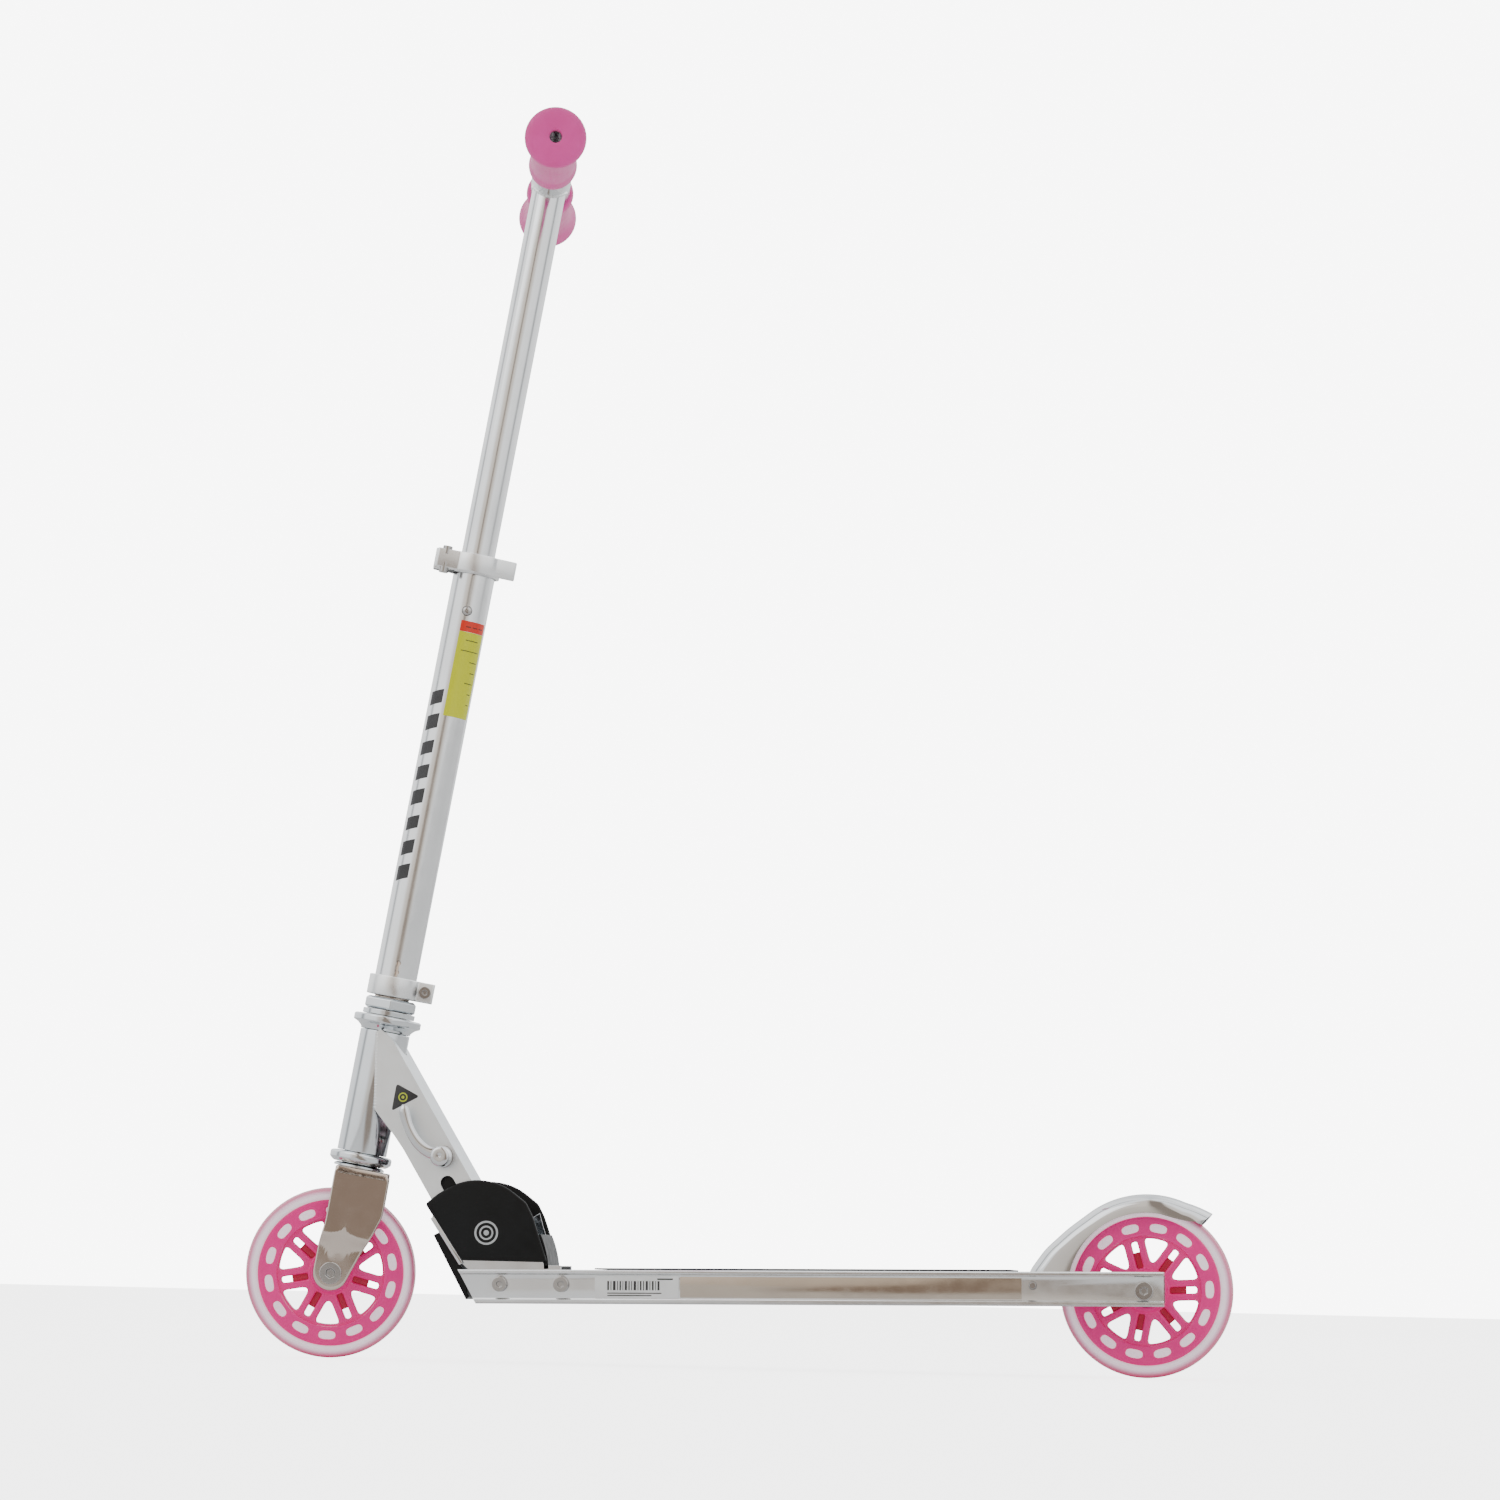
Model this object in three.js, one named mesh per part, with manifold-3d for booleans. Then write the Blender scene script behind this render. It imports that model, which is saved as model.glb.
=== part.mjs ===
// A child's folding kick scooter: an aluminium deck, a folding neck, a telescopic steering stem,
// two 120 mm wheels and a sprung fender brake. Millimetres, +Z up, +X to the rear wheel, Y across.
// The origin is on the ground under the middle of the bounding box.
import * as THREE from "three";
import { mergeVertices } from "three/addons/utils/BufferGeometryUtils.js";
import Module from "manifold-3d";

const wasm = await Module();
wasm.setup();

// ---- driving dimensions ----
const GAP = 0.3; // clearance between pieces that touch
const WHEELBASE = 576.8;
const WHEEL_RADIUS = 60;
const TYRE_WIDTH = 24;
const RIM_RADIUS = 51.5;
const RIM_WIDTH = 21;
const SPOKE_WIDTH = 15;
const HUB_RADIUS = 14;
const SPOKE_COUNT = 7;
const BEARING_RADIUS = 11;
const BEARING_WIDTH = 7;
const AXLE_RADIUS = 4;

const FRONT_REACH = 99.2; // front axle ahead of the deck's front end
const DECK_WIDTH = 96;
const DECK_HEIGHT = 23.7;
const DECK_WALL = 2.4;
const DECK_TOP = 13; // above the rear axle
const DECK_TAIL = 13.4; // deck behind the rear axle
const DECK_LENGTH = WHEELBASE - FRONT_REACH + DECK_TAIL;
const DECK_SLOPE = 1.07; // degrees, the deck falls to the front
const WHEEL_WELL_HALF = 23; // half width of the gap round the rear wheel

const STEER_TILT = 9.44; // degrees, the stem leans back
const STEER_TURN = 10.29; // degrees, the bars are turned at rest
const FORK_OFFSET = 5.2; // front axle ahead of the steering axis
const HEAD_LOW = WHEEL_RADIUS + 26;
const HEAD_HIGH = 173;
const HEAD_RADIUS = 17.7;
const STEERER_RADIUS = 12.4;
const STEM_RADIUS = 15;
const STEM_WALL = 2.2;
const STEM_LOW = 198.5;
const STEM_HIGH = 520;
const INNER_RADIUS = 12.1;
const INNER_WALL = 1.8;
const INNER_LOW = 430;
const BAR_HEIGHT = 798.8; // handlebar axis, along the steering axis
const BAR_SOCKET_RADIUS = 14.3;
const BAR_SOCKET_HALF = 44;
const HANDLE_RADIUS = 11;
const HANDLE_INNER_END = 7;
const GRIP_START = 47;
const GRIP_END = 161;
const GRIP_FLANGE_RADIUS = 21.5;

const PIVOT_BACK = 111.4; // fold pivot behind the front axle
const PIVOT_RISE = 17.69; // fold pivot above the deck's top
const NECK_LEAN = 31.3; // degrees, the neck leans forward
const NECK_HALF = 22;
const NECK_WALL = 3;
const NECK_END_RADIUS = 15.7;
const BRACKET_PLATE = 3;
const COVER_THICKNESS = 3;
const LOCK_PIN_DISTANCE = 35.2;
const LOCK_PIN_RADIUS = 4;
const FOLD_RANGE = 79; // degrees
const FENDER_CLEARANCE = 6.4; // fender's crown outside the tyre
const FENDER_RADIUS = WHEEL_RADIUS + FENDER_CLEARANCE;
const FENDER_WALL = 2;
const FENDER_HALF = 20;
const SKIRT_OVERLAP = 6; // fender's sides inside the tyre's radius
const FENDER_SKIRT_RADIUS = WHEEL_RADIUS - SKIRT_OVERLAP;
const BRAKE_PIVOT_AHEAD = WHEEL_RADIUS + 16.4;

// ---- worked out from them ----
const rad = THREE.MathUtils.degToRad;
const { sin, cos, tan, PI } = Math;
const REAR_X = WHEELBASE / 2;
const FRONT_X = -WHEELBASE / 2;
const PIVOT_X = FRONT_X + PIVOT_BACK;
const DECK_TOP_AT_PIVOT = DECK_TOP / cos(rad(DECK_SLOPE)) - (REAR_X - PIVOT_X) * tan(rad(DECK_SLOPE));
const PIVOT_Z = WHEEL_RADIUS + DECK_TOP_AT_PIVOT + PIVOT_RISE;
const OFFSET_AHEAD = FORK_OFFSET * cos(rad(STEER_TURN));
const AXLE_DROP = (OFFSET_AHEAD * sin(rad(STEER_TILT))) / cos(rad(STEER_TILT));
const STEER_X = FRONT_X + OFFSET_AHEAD * cos(rad(STEER_TILT)) + AXLE_DROP * sin(rad(STEER_TILT));
const BRACKET_IN = NECK_HALF + GAP;
const BRACKET_OUT = BRACKET_IN + BRACKET_PLATE;
const COVER_OUT = BRACKET_OUT + GAP + COVER_THICKNESS;
const DECK_BOTTOM = DECK_TOP - DECK_HEIGHT;
const DECK_FRONT = DECK_TAIL - DECK_LENGTH;
const DECK_HALF = DECK_WIDTH / 2;

// ---- solids ----
function toSolid(geometry) {
  const bare = geometry.clone();
  bare.deleteAttribute("normal");
  bare.deleteAttribute("uv");
  const merged = mergeVertices(bare, 1e-4);
  const index = merged.index.array;
  const kept = [];
  for (let i = 0; i < index.length; i += 3) {
    const [a, b, c] = [index[i], index[i + 1], index[i + 2]];
    if (a !== b && b !== c && a !== c) kept.push(a, b, c);
  }
  const made = (triangles) =>
    new wasm.Manifold(
      new wasm.Mesh({
        numProp: 3,
        vertProperties: merged.attributes.position.array,
        triVerts: new Uint32Array(triangles),
      }),
    );
  const first = made(kept);
  return first.volume() < 0 ? made(kept.reverse()) : first;
}

function toGeometry(manifold) {
  const mesh = manifold.getMesh();
  return new THREE.BufferGeometry()
    .setAttribute("position", new THREE.BufferAttribute(new Float32Array(mesh.vertProperties), 3))
    .setIndex(new THREE.BufferAttribute(new Uint32Array(mesh.triVerts), 1));
}

function join(...geometries) {
  return toGeometry(geometries.map(toSolid).reduce((sum, next) => sum.add(next)));
}

function cut(body, ...tools) {
  return toGeometry(tools.map(toSolid).reduce((left, tool) => left.subtract(tool), toSolid(body)));
}

function box(x0, x1, y0, y1, z0, z1) {
  const made = new THREE.BoxGeometry(x1 - x0, y1 - y0, z1 - z0);
  return made.translate((x0 + x1) / 2, (y0 + y1) / 2, (z0 + z1) / 2);
}

// A rod along Z from z0 to z1, centred on (x, y).
function rodZ(radius, z0, z1, x = 0, y = 0, sides = 24) {
  const made = new THREE.CylinderGeometry(radius, radius, z1 - z0, sides).rotateX(PI / 2);
  return made.translate(x, y, (z0 + z1) / 2);
}

// A rod along Y from y0 to y1, centred on (x, z).
function rodY(radius, y0, y1, x = 0, z = 0, sides = 16) {
  return new THREE.CylinderGeometry(radius, radius, y1 - y0, sides).translate(x, (y0 + y1) / 2, z);
}

// A ring or turned shape about Z from a closed profile of [radius, height] pairs.
function turned(profile, sides = 24) {
  const points = profile.map(([r, z]) => new THREE.Vector2(r, z));
  const closed = profile[0][0] === 0 ? points : [...points, points[0].clone()];
  return new THREE.LatheGeometry(closed, sides).rotateX(PI / 2);
}

function turnedY(profile, sides = 24) {
  return turned(profile, sides).rotateX(-PI / 2);
}

function ringZ(outer, inner, z0, z1, sides = 24) {
  return turned([[inner, z0], [outer, z0], [outer, z1], [inner, z1]], sides);
}

function ringY(outer, inner, y0, y1, x = 0, z = 0, sides = 16) {
  return turnedY([[inner, y0], [outer, y0], [outer, y1], [inner, y1]], sides).translate(x, 0, z);
}

function outline(points) {
  return new THREE.Shape(points.map(([x, y]) => new THREE.Vector2(x, y)));
}

// A plate with its outline in X and Z, from y0 to y1.
function plateY(shape, y0, y1, curveSegments = 8) {
  const made = new THREE.ExtrudeGeometry(shape, { depth: y1 - y0, bevelEnabled: false, curveSegments });
  return made.rotateX(PI / 2).translate(0, y1, 0);
}

// A plate with its outline in X and Y, from z0 to z1.
function plateZ(shape, z0, z1, curveSegments = 8) {
  const made = new THREE.ExtrudeGeometry(shape, { depth: z1 - z0, bevelEnabled: false, curveSegments });
  return made.translate(0, 0, z0);
}

// Points of an arc about (cx, cy) from angle a to angle b in degrees, in `steps` steps.
function arc(cx, cy, radius, a, b, steps) {
  return Array.from({ length: steps + 1 }, (_, i) => {
    const angle = rad(a + ((b - a) * i) / steps);
    return [cx + radius * cos(angle), cy + radius * sin(angle)];
  });
}

function polar(radius, angle) {
  return [radius * cos(rad(angle)), radius * sin(rad(angle))];
}

// ---- finishes ----
const finish = (color, roughness, metalness) => new THREE.MeshStandardMaterial({ color, roughness, metalness });
const CHROME = finish(0xc9cccd, 0.15, 1);
const ALUMINIUM = finish(0xc4c7c8, 0.25, 1);
const STEEL = finish(0x9a9da0, 0.35, 1);
const BLACK = finish(0x1c1e20, 0.5, 0);
const PINK = finish(0xcf4f86, 0.4, 0);
const RUBBER_PINK = finish(0xcd5a94, 0.6, 0);
const CLEAR = finish(0xd9bfca, 0.3, 0);
const TAPE = finish(0x2a2b2d, 0.95, 0);
const LABEL = finish(0xd4d828, 0.5, 0);
const ELASTIC = finish(0x303030, 0.8, 0);

// ---- the scene graph ----
const scooter = new THREE.Group();
const deckGroup = new THREE.Group();
deckGroup.position.set(REAR_X, 0, WHEEL_RADIUS);
deckGroup.rotation.y = -rad(DECK_SLOPE);
const neckGroup = new THREE.Group();
neckGroup.position.set(PIVOT_X, 0, PIVOT_Z);
neckGroup.rotation.y = -rad(NECK_LEAN);
const headGroup = new THREE.Group();
headGroup.position.set(STEER_X, 0, WHEEL_RADIUS);
headGroup.rotation.y = rad(STEER_TILT);
const steerGroup = new THREE.Group();
steerGroup.rotation.z = rad(STEER_TURN);
headGroup.add(steerGroup);
const frontWheel = new THREE.Group();
frontWheel.position.set(-FORK_OFFSET, 0, -AXLE_DROP);
steerGroup.add(frontWheel);
scooter.add(deckGroup, neckGroup, headGroup);

function piece(name, geometry, material, parent) {
  const mesh = new THREE.Mesh(geometry, material);
  mesh.name = name;
  parent.add(mesh);
  return mesh;
}

// A geometry of one group written in another group's coordinates.
function moved(geometry, from, to) {
  scooter.updateMatrixWorld(true);
  const change = to.matrixWorld.clone().invert().multiply(from.matrixWorld);
  return geometry.clone().applyMatrix4(change);
}

// ---- wheels: axis along Y through the group's origin ----
function spokeOpening(index) {
  // The rounded triangle between two double spokes.
  const pitch = 360 / SPOKE_COUNT;
  const middle = (index + 0.5) * pitch;
  const low = HUB_RADIUS + 8.5;
  const high = RIM_RADIUS - 15;
  const spokeHalf = 7.3;
  const edge = (r) => pitch / 2 - (Math.asin(spokeHalf / r) * 180) / PI;
  const points = [
    ...arc(0, 0, high, middle - edge(high) + 4, middle + edge(high) - 4, 3),
    polar(high - 2.5, middle + edge(high - 2.5)),
    polar(low + 2.5, middle + edge(low + 2.5)),
    polar(low, middle),
    polar(low + 2.5, middle - edge(low + 2.5)),
    polar(high - 2.5, middle - edge(high - 2.5)),
  ];
  return plateY(outline(points), -SPOKE_WIDTH, SPOKE_WIDTH);
}

function spokeSlot(index) {
  // The slot between the two bars of one spoke, open through the wheel near the rim.
  const angle = (index * 2 * PI) / SPOKE_COUNT;
  const half = 2.3;
  const points = [[27.5, -half], [33, -half], [35, 0], [33, half], [27.5, half]];
  const turn = ([x, y]) => [x * cos(angle) - y * sin(angle), x * sin(angle) + y * cos(angle)];
  return plateY(outline(points.map(turn)), -SPOKE_WIDTH, SPOKE_WIDTH);
}

function rim() {
  const disc = rodY(RIM_RADIUS - 12, -SPOKE_WIDTH / 2, SPOKE_WIDTH / 2, 0, 0, 36);
  const openings = Array.from({ length: SPOKE_COUNT }, (_, i) => [spokeOpening(i), spokeSlot(i)]).flat();
  const spokes = cut(disc, ...openings);
  const inner = RIM_RADIUS - 14;
  const flange = turnedY(
    [
      [inner, -SPOKE_WIDTH / 2],
      [inner + 2, -RIM_WIDTH / 2],
      [RIM_RADIUS, -RIM_WIDTH / 2],
      [RIM_RADIUS, RIM_WIDTH / 2],
      [inner + 2, RIM_WIDTH / 2],
      [inner, SPOKE_WIDTH / 2],
    ],
    36,
  );
  const hub = rodY(HUB_RADIUS, -RIM_WIDTH / 2 - 1, RIM_WIDTH / 2 + 1, 0, 0, 24);
  const seat = BEARING_RADIUS + GAP;
  const end = RIM_WIDTH / 2 + 2;
  const depth = RIM_WIDTH / 2 + 1 - BEARING_WIDTH;
  const half = [[8, depth], [seat, depth], [seat, end], [0, end]];
  const bore = turnedY([...half.map(([r, y]) => [r, -y]).reverse(), ...half], 16);
  return cut(join(spokes, flange, hub), bore);
}

function tyre() {
  const inner = RIM_RADIUS + GAP;
  const half = TYRE_WIDTH / 2;
  const crown = WHEEL_RADIUS;
  return turnedY(
    [
      [inner, -half + 2],
      [inner + 1.5, -half],
      [crown - 3, -half + 1],
      [crown, -half + 7],
      [crown, half - 7],
      [crown - 3, half - 1],
      [inner + 1.5, half],
      [inner, half - 2],
    ],
    40,
  );
}

function wheel(name, parent) {
  piece(name + "_rim", rim(), PINK, parent);
  piece(name + "_tyre", tyre(), CLEAR, parent);
  const outer = RIM_WIDTH / 2 + 1;
  const inner = outer - BEARING_WIDTH + GAP;
  const bore = AXLE_RADIUS + GAP;
  piece(name + "_bearing_near", ringY(BEARING_RADIUS, bore, -outer, -inner), STEEL, parent);
  piece(name + "_bearing_far", ringY(BEARING_RADIUS, bore, inner, outer), STEEL, parent);
  piece(name + "_spacer", ringY(6, bore, -inner + GAP, inner - GAP, 0, 0), ALUMINIUM, parent);
}

// A socket-head bolt along Y: shank, a head on the near side and a nut on the far side.
function throughBolt(shank, half, head, x = 0, z = 0, headDepth = 3) {
  const body = rodY(shank, -half - 1, half + 1, x, z);
  const cap = rodY(head, -half - headDepth - GAP, -half - GAP, x, z, 20);
  const nut = rodY(head, half + GAP, half + headDepth + GAP, x, z, 6);
  const socket = rodY(head * 0.42, -half - headDepth - 1, -half - GAP - 1, x, z, 6);
  return cut(join(body, cap, nut), socket);
}

// ---- the deck, in the deck group: the origin is the rear axle ----
const FRONT_SLANT = 13; // the deck's front end leans with the neck
const BOLT_LINE = 2.85;
const FRONT_BOLT_X = DECK_FRONT + 30;
const REAR_BOLT_X = DECK_FRONT + 73.2;
const FENDER_PIN_Z = 3.4;
const WELL_FRONT = -WHEEL_RADIUS - 24;
const NECK_SLOT_HALF = COVER_OUT + 1;
const NECK_SLOT_REAR = DECK_FRONT + 69.6;

function deckProfile() {
  // Across the deck: a groove runs along each side between two lips.
  const lip = 3;
  const groove = 1;
  const side = (s) => [
    [s * DECK_HALF, DECK_BOTTOM + 1],
    [s * DECK_HALF, DECK_BOTTOM + lip],
    [s * (DECK_HALF - groove), DECK_BOTTOM + lip + groove],
    [s * (DECK_HALF - groove), DECK_TOP - lip - groove + 0.5],
    [s * DECK_HALF, DECK_TOP - lip + 0.5],
    [s * DECK_HALF, DECK_TOP - 1],
    [s * (DECK_HALF - 1), DECK_TOP],
  ];
  return outline([[1 - DECK_HALF, DECK_BOTTOM], [DECK_HALF - 1, DECK_BOTTOM], ...side(1), ...side(-1).reverse()]);
}

function deckHollows() {
  // Three channels run the whole length between the side walls and two ribs.
  const rib = WHEEL_WELL_HALF + DECK_WALL;
  const wall = DECK_HALF - 1 - DECK_WALL;
  const hollow = (y0, y1) =>
    box(DECK_FRONT - 5, DECK_TAIL + 5, y0, y1, DECK_BOTTOM + DECK_WALL, DECK_TOP - DECK_WALL);
  return [hollow(-wall, -rib), hollow(rib, wall), hollow(-WHEEL_WELL_HALF, WHEEL_WELL_HALF)];
}

function deck() {
  // The profile is drawn in Y and Z, so its extrusion is turned to run along X.
  const bar = new THREE.ExtrudeGeometry(deckProfile(), { depth: DECK_LENGTH, bevelEnabled: false });
  const turn = new THREE.Matrix4().makeBasis(
    new THREE.Vector3(0, 1, 0),
    new THREE.Vector3(0, 0, 1),
    new THREE.Vector3(1, 0, 0),
  );
  bar.applyMatrix4(turn).translate(DECK_FRONT, 0, 0);
  const well = box(WELL_FRONT, DECK_TAIL + 5, -WHEEL_WELL_HALF, WHEEL_WELL_HALF, DECK_BOTTOM - 5, DECK_TOP + 5);
  const nose = plateY(
    outline([
      [DECK_FRONT - 5, DECK_TOP + 1],
      [DECK_FRONT, DECK_TOP],
      [DECK_FRONT + FRONT_SLANT, DECK_BOTTOM],
      [DECK_FRONT + FRONT_SLANT, DECK_BOTTOM - 5],
      [DECK_FRONT - 5, DECK_BOTTOM - 5],
    ]),
    -DECK_HALF - 5,
    DECK_HALF + 5,
  );
  const floor = DECK_BOTTOM + DECK_WALL;
  const slot = box(DECK_FRONT - 5, NECK_SLOT_REAR, -NECK_SLOT_HALF, NECK_SLOT_HALF, floor, DECK_TOP + 5);
  const hole = (radius, x, z) => rodY(radius, -DECK_HALF - 5, DECK_HALF + 5, x, z);
  return cut(
    bar,
    ...deckHollows(),
    well,
    nose,
    slot,
    hole(AXLE_RADIUS + GAP, 0, 0),
    hole(3 + GAP, FRONT_BOLT_X, BOLT_LINE),
    hole(3 + GAP, REAR_BOLT_X, BOLT_LINE),
    hole(2.5 + GAP, -BRAKE_PIVOT_AHEAD, FENDER_PIN_Z),
  );
}

piece("deck", deck(), ALUMINIUM, deckGroup);
piece(
  "grip_tape",
  box(NECK_SLOT_REAR + 26, WELL_FRONT - 8, -DECK_HALF + 7, DECK_HALF - 7, DECK_TOP + GAP, DECK_TOP + GAP + 1),
  TAPE,
  deckGroup,
);
piece("front_deck_bolt", throughBolt(3, DECK_HALF, 5.2, FRONT_BOLT_X, BOLT_LINE, 2.6), STEEL, deckGroup);
piece("middle_deck_bolt", throughBolt(3, DECK_HALF, 5.4, REAR_BOLT_X, BOLT_LINE, 2.6), STEEL, deckGroup);
piece("rear_axle_bolt", throughBolt(AXLE_RADIUS, DECK_HALF, 6.3), STEEL, deckGroup);

const rearWheel = new THREE.Group();
rearWheel.rotation.y = rad(2.7 + DECK_SLOPE);
deckGroup.add(rearWheel);
wheel("rear", rearWheel);
const SPACER_IN = RIM_WIDTH / 2 + 1 + GAP;
const rearSpacer = (y0, y1) => ringY(6.5, AXLE_RADIUS + GAP, y0, y1, 0, 0);
piece("rear_spacer_near", rearSpacer(-WHEEL_WELL_HALF + GAP, -SPACER_IN), ALUMINIUM, deckGroup);
piece("rear_spacer_far", rearSpacer(SPACER_IN, WHEEL_WELL_HALF - GAP), ALUMINIUM, deckGroup);

// ---- the fender brake ----
// A point on the fender, as shares of its crown's radius.
function onFender(x, z) {
  return [x * FENDER_RADIUS, z * FENDER_RADIUS];
}

function fenderOutline(skin) {
  // The crown follows the tyre; the front runs straight down to the deck.
  const outer = FENDER_RADIUS - skin;
  const startAngle = 128;
  const front = -BRAKE_PIVOT_AHEAD - 5.6;
  const back = -FENDER_SKIRT_RADIUS + 1;
  const crown = arc(0, 0, outer, startAngle, 62, 11);
  const [tipX, tipZ] = onFender(0.6822, 0.7937);
  const [kneeX, kneeZ] = onFender(-1.0542, 0.4292);
  const skirt = arc(0, 0, FENDER_SKIRT_RADIUS, 69, 166, 12);
  const foot = [[back, 9], [back, -2], [front, -2], [front, 8]];
  const tip = [tipX - skin * 0.5, tipZ - skin];
  return [[front + 0.5 + skin, 13.2], [kneeX + skin, kneeZ], ...crown, tip, onFender(0.512, 0.7139), ...skirt, ...foot];
}

function fender() {
  const whole = plateY(outline(fenderOutline(0)), -FENDER_HALF, FENDER_HALF);
  // The wheel's room: everything between the side skirts under the crown.
  const inside = FENDER_HALF - FENDER_WALL;
  const roomOutline = [
    ...arc(0, 0, FENDER_RADIUS - FENDER_WALL - 0.2, 128, 40, 12),
    [FENDER_RADIUS + 24, 20],
    [FENDER_RADIUS + 24, -20],
    [-FENDER_RADIUS - 29, -20],
    [-BRAKE_PIVOT_AHEAD - 4.6, 9],
    onFender(-1.0166, 0.4217),
  ];
  const room = plateY(outline(roomOutline), -inside, inside);
  const pin = rodY(2.5 + GAP, -FENDER_HALF - 5, FENDER_HALF + 5, -BRAKE_PIVOT_AHEAD, FENDER_PIN_Z);
  return cut(whole, room, pin);
}
piece("brake_fender", fender(), CHROME, deckGroup);
const BRAKE_PIN_HALF = DECK_HALF + 0.8;
piece(
  "brake_pivot_pin",
  rodY(2.5, -BRAKE_PIN_HALF, BRAKE_PIN_HALF, -BRAKE_PIVOT_AHEAD, FENDER_PIN_Z),
  STEEL,
  deckGroup,
);
piece(
  "brake_spring",
  ringY(4.6, 2.5 + GAP, -9, 9, -BRAKE_PIVOT_AHEAD, FENDER_PIN_Z),
  STEEL,
  deckGroup,
);

// ---- the folding bracket: outlines in X and Z from the pivot, in the world's directions ----
const bracketGroup = new THREE.Group();
bracketGroup.position.set(PIVOT_X, 0, PIVOT_Z);
scooter.add(bracketGroup);
const REST_LEAN = 90 + NECK_LEAN; // direction of the neck from the pivot, degrees from +X

// The lock pin's way round the pivot: the plates are cut back to it between two hooks.
function lockSector(y0, y1) {
  const low = LOCK_PIN_DISTANCE - LOCK_PIN_RADIUS - 0.6;
  const past = 7.5;
  const from = REST_LEAN + past;
  const to = REST_LEAN - FOLD_RANGE - past;
  return plateY(outline([...arc(0, 0, 70, from, to, 6), ...arc(0, 0, low, to, from, 12)]), y0, y1);
}

function bracketOutline() {
  return outline([
    [-36, 17],
    ...arc(0, 2, 41.5, 138, 40, 8),
    [36.5, 12.5],
    [41.5, -1],
    [45, -14],
    [45, -22],
    [-4, -22],
    [-13, -14],
  ]);
}

function bracketPlate(y0, y1) {
  const pivotHole = rodY(5 + GAP, y0 - 1, y1 + 1, 0, 0);
  return cut(plateY(bracketOutline(), y0, y1), lockSector(y0 - 1, y1 + 1), pivotHole);
}

function foldBracket() {
  // Two side plates on a base block that sits in the deck's slot.
  const near = bracketPlate(-BRACKET_OUT, -BRACKET_IN);
  const far = bracketPlate(BRACKET_IN, BRACKET_OUT);
  const base = moved(
    plateY(
      outline([
        [DECK_FRONT + 15, 8],
        [NECK_SLOT_REAR - GAP, 8],
        [NECK_SLOT_REAR - GAP, DECK_BOTTOM + DECK_WALL + GAP],
        [DECK_FRONT + 18, DECK_BOTTOM + DECK_WALL + GAP],
      ]),
      -BRACKET_OUT,
      BRACKET_OUT,
    ),
    deckGroup,
    bracketGroup,
  );
  const bolt = (x) => moved(rodY(3 + GAP, -60, 60, x, BOLT_LINE), deckGroup, bracketGroup);
  const legs = moved(
    join(
      box(FRONT_BOLT_X - 12, NECK_SLOT_REAR - GAP, -BRACKET_OUT, -BRACKET_IN, 0, 16),
      box(FRONT_BOLT_X - 12, NECK_SLOT_REAR - GAP, BRACKET_IN, BRACKET_OUT, 0, 16),
    ),
    deckGroup,
    bracketGroup,
  );
  return cut(join(near, far, base, legs), bolt(FRONT_BOLT_X), bolt(REAR_BOLT_X));
}

function cover(s) {
  const y0 = s < 0 ? -COVER_OUT : BRACKET_OUT + GAP;
  const crown = arc(-3, 2.3, 42.5, 126, 36, 6);
  const shape = outline([[-40.7, 27.9], [-30, 36], ...crown, [39.2, 13.3], [44.4, 0], [47.9, -12], [-14, -12]]);
  return plateY(shape, y0, y0 + COVER_THICKNESS);
}

function arcCover() {
  // A curved plastic strip closes the gap between the plates behind the neck.
  const outer = arc(-26, -22.6, 74.6, 22, 6, 6);
  const inner = arc(-26, -22.6, 71.4, 6, 22, 6);
  return plateY(outline([...outer, ...inner]), GAP - BRACKET_IN, BRACKET_IN - GAP);
}

function frontGuard() {
  const shape = outline([[-35, 5.7], [-29.5, 8.5], [-13.5, -17.3], [-8.5, -36.9], [-10.5, -38.9]]);
  return plateY(shape, -BRACKET_OUT + 4, BRACKET_OUT - 4);
}
piece("fold_bracket", foldBracket(), CHROME, bracketGroup);
piece("bracket_cover_near", cover(-1), BLACK, bracketGroup);
piece("bracket_cover_far", cover(1), BLACK, bracketGroup);
piece("bracket_rear_cover", arcCover(), BLACK, bracketGroup);
piece("front_guard", frontGuard(), BLACK, bracketGroup);

piece("fold_pivot_bolt", rodY(5, -BRACKET_OUT, BRACKET_OUT, 0, 0), STEEL, bracketGroup);

// ---- the neck, in the neck group: the origin is the pivot and Z runs up the neck ----
const NECK_REAR = NECK_END_RADIUS;
const SLOT_TOP = 49.7;
const LEVER_UP = 67;
const LEVER_ACROSS = 6.5;

function neckOutline() {
  // Down the rear edge, round the pivot and up the front edge to the head tube.
  return outline([
    [NECK_REAR, 0],
    [NECK_REAR, 158],
    [12, 168],
    [8, 168],
    [-19.6, 120.5],
    [-16.6, 98],
    [-NECK_REAR, 86],
    ...arc(0, 0, NECK_END_RADIUS, 180, 360, 8).slice(0, -1),
  ]);
}

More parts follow.
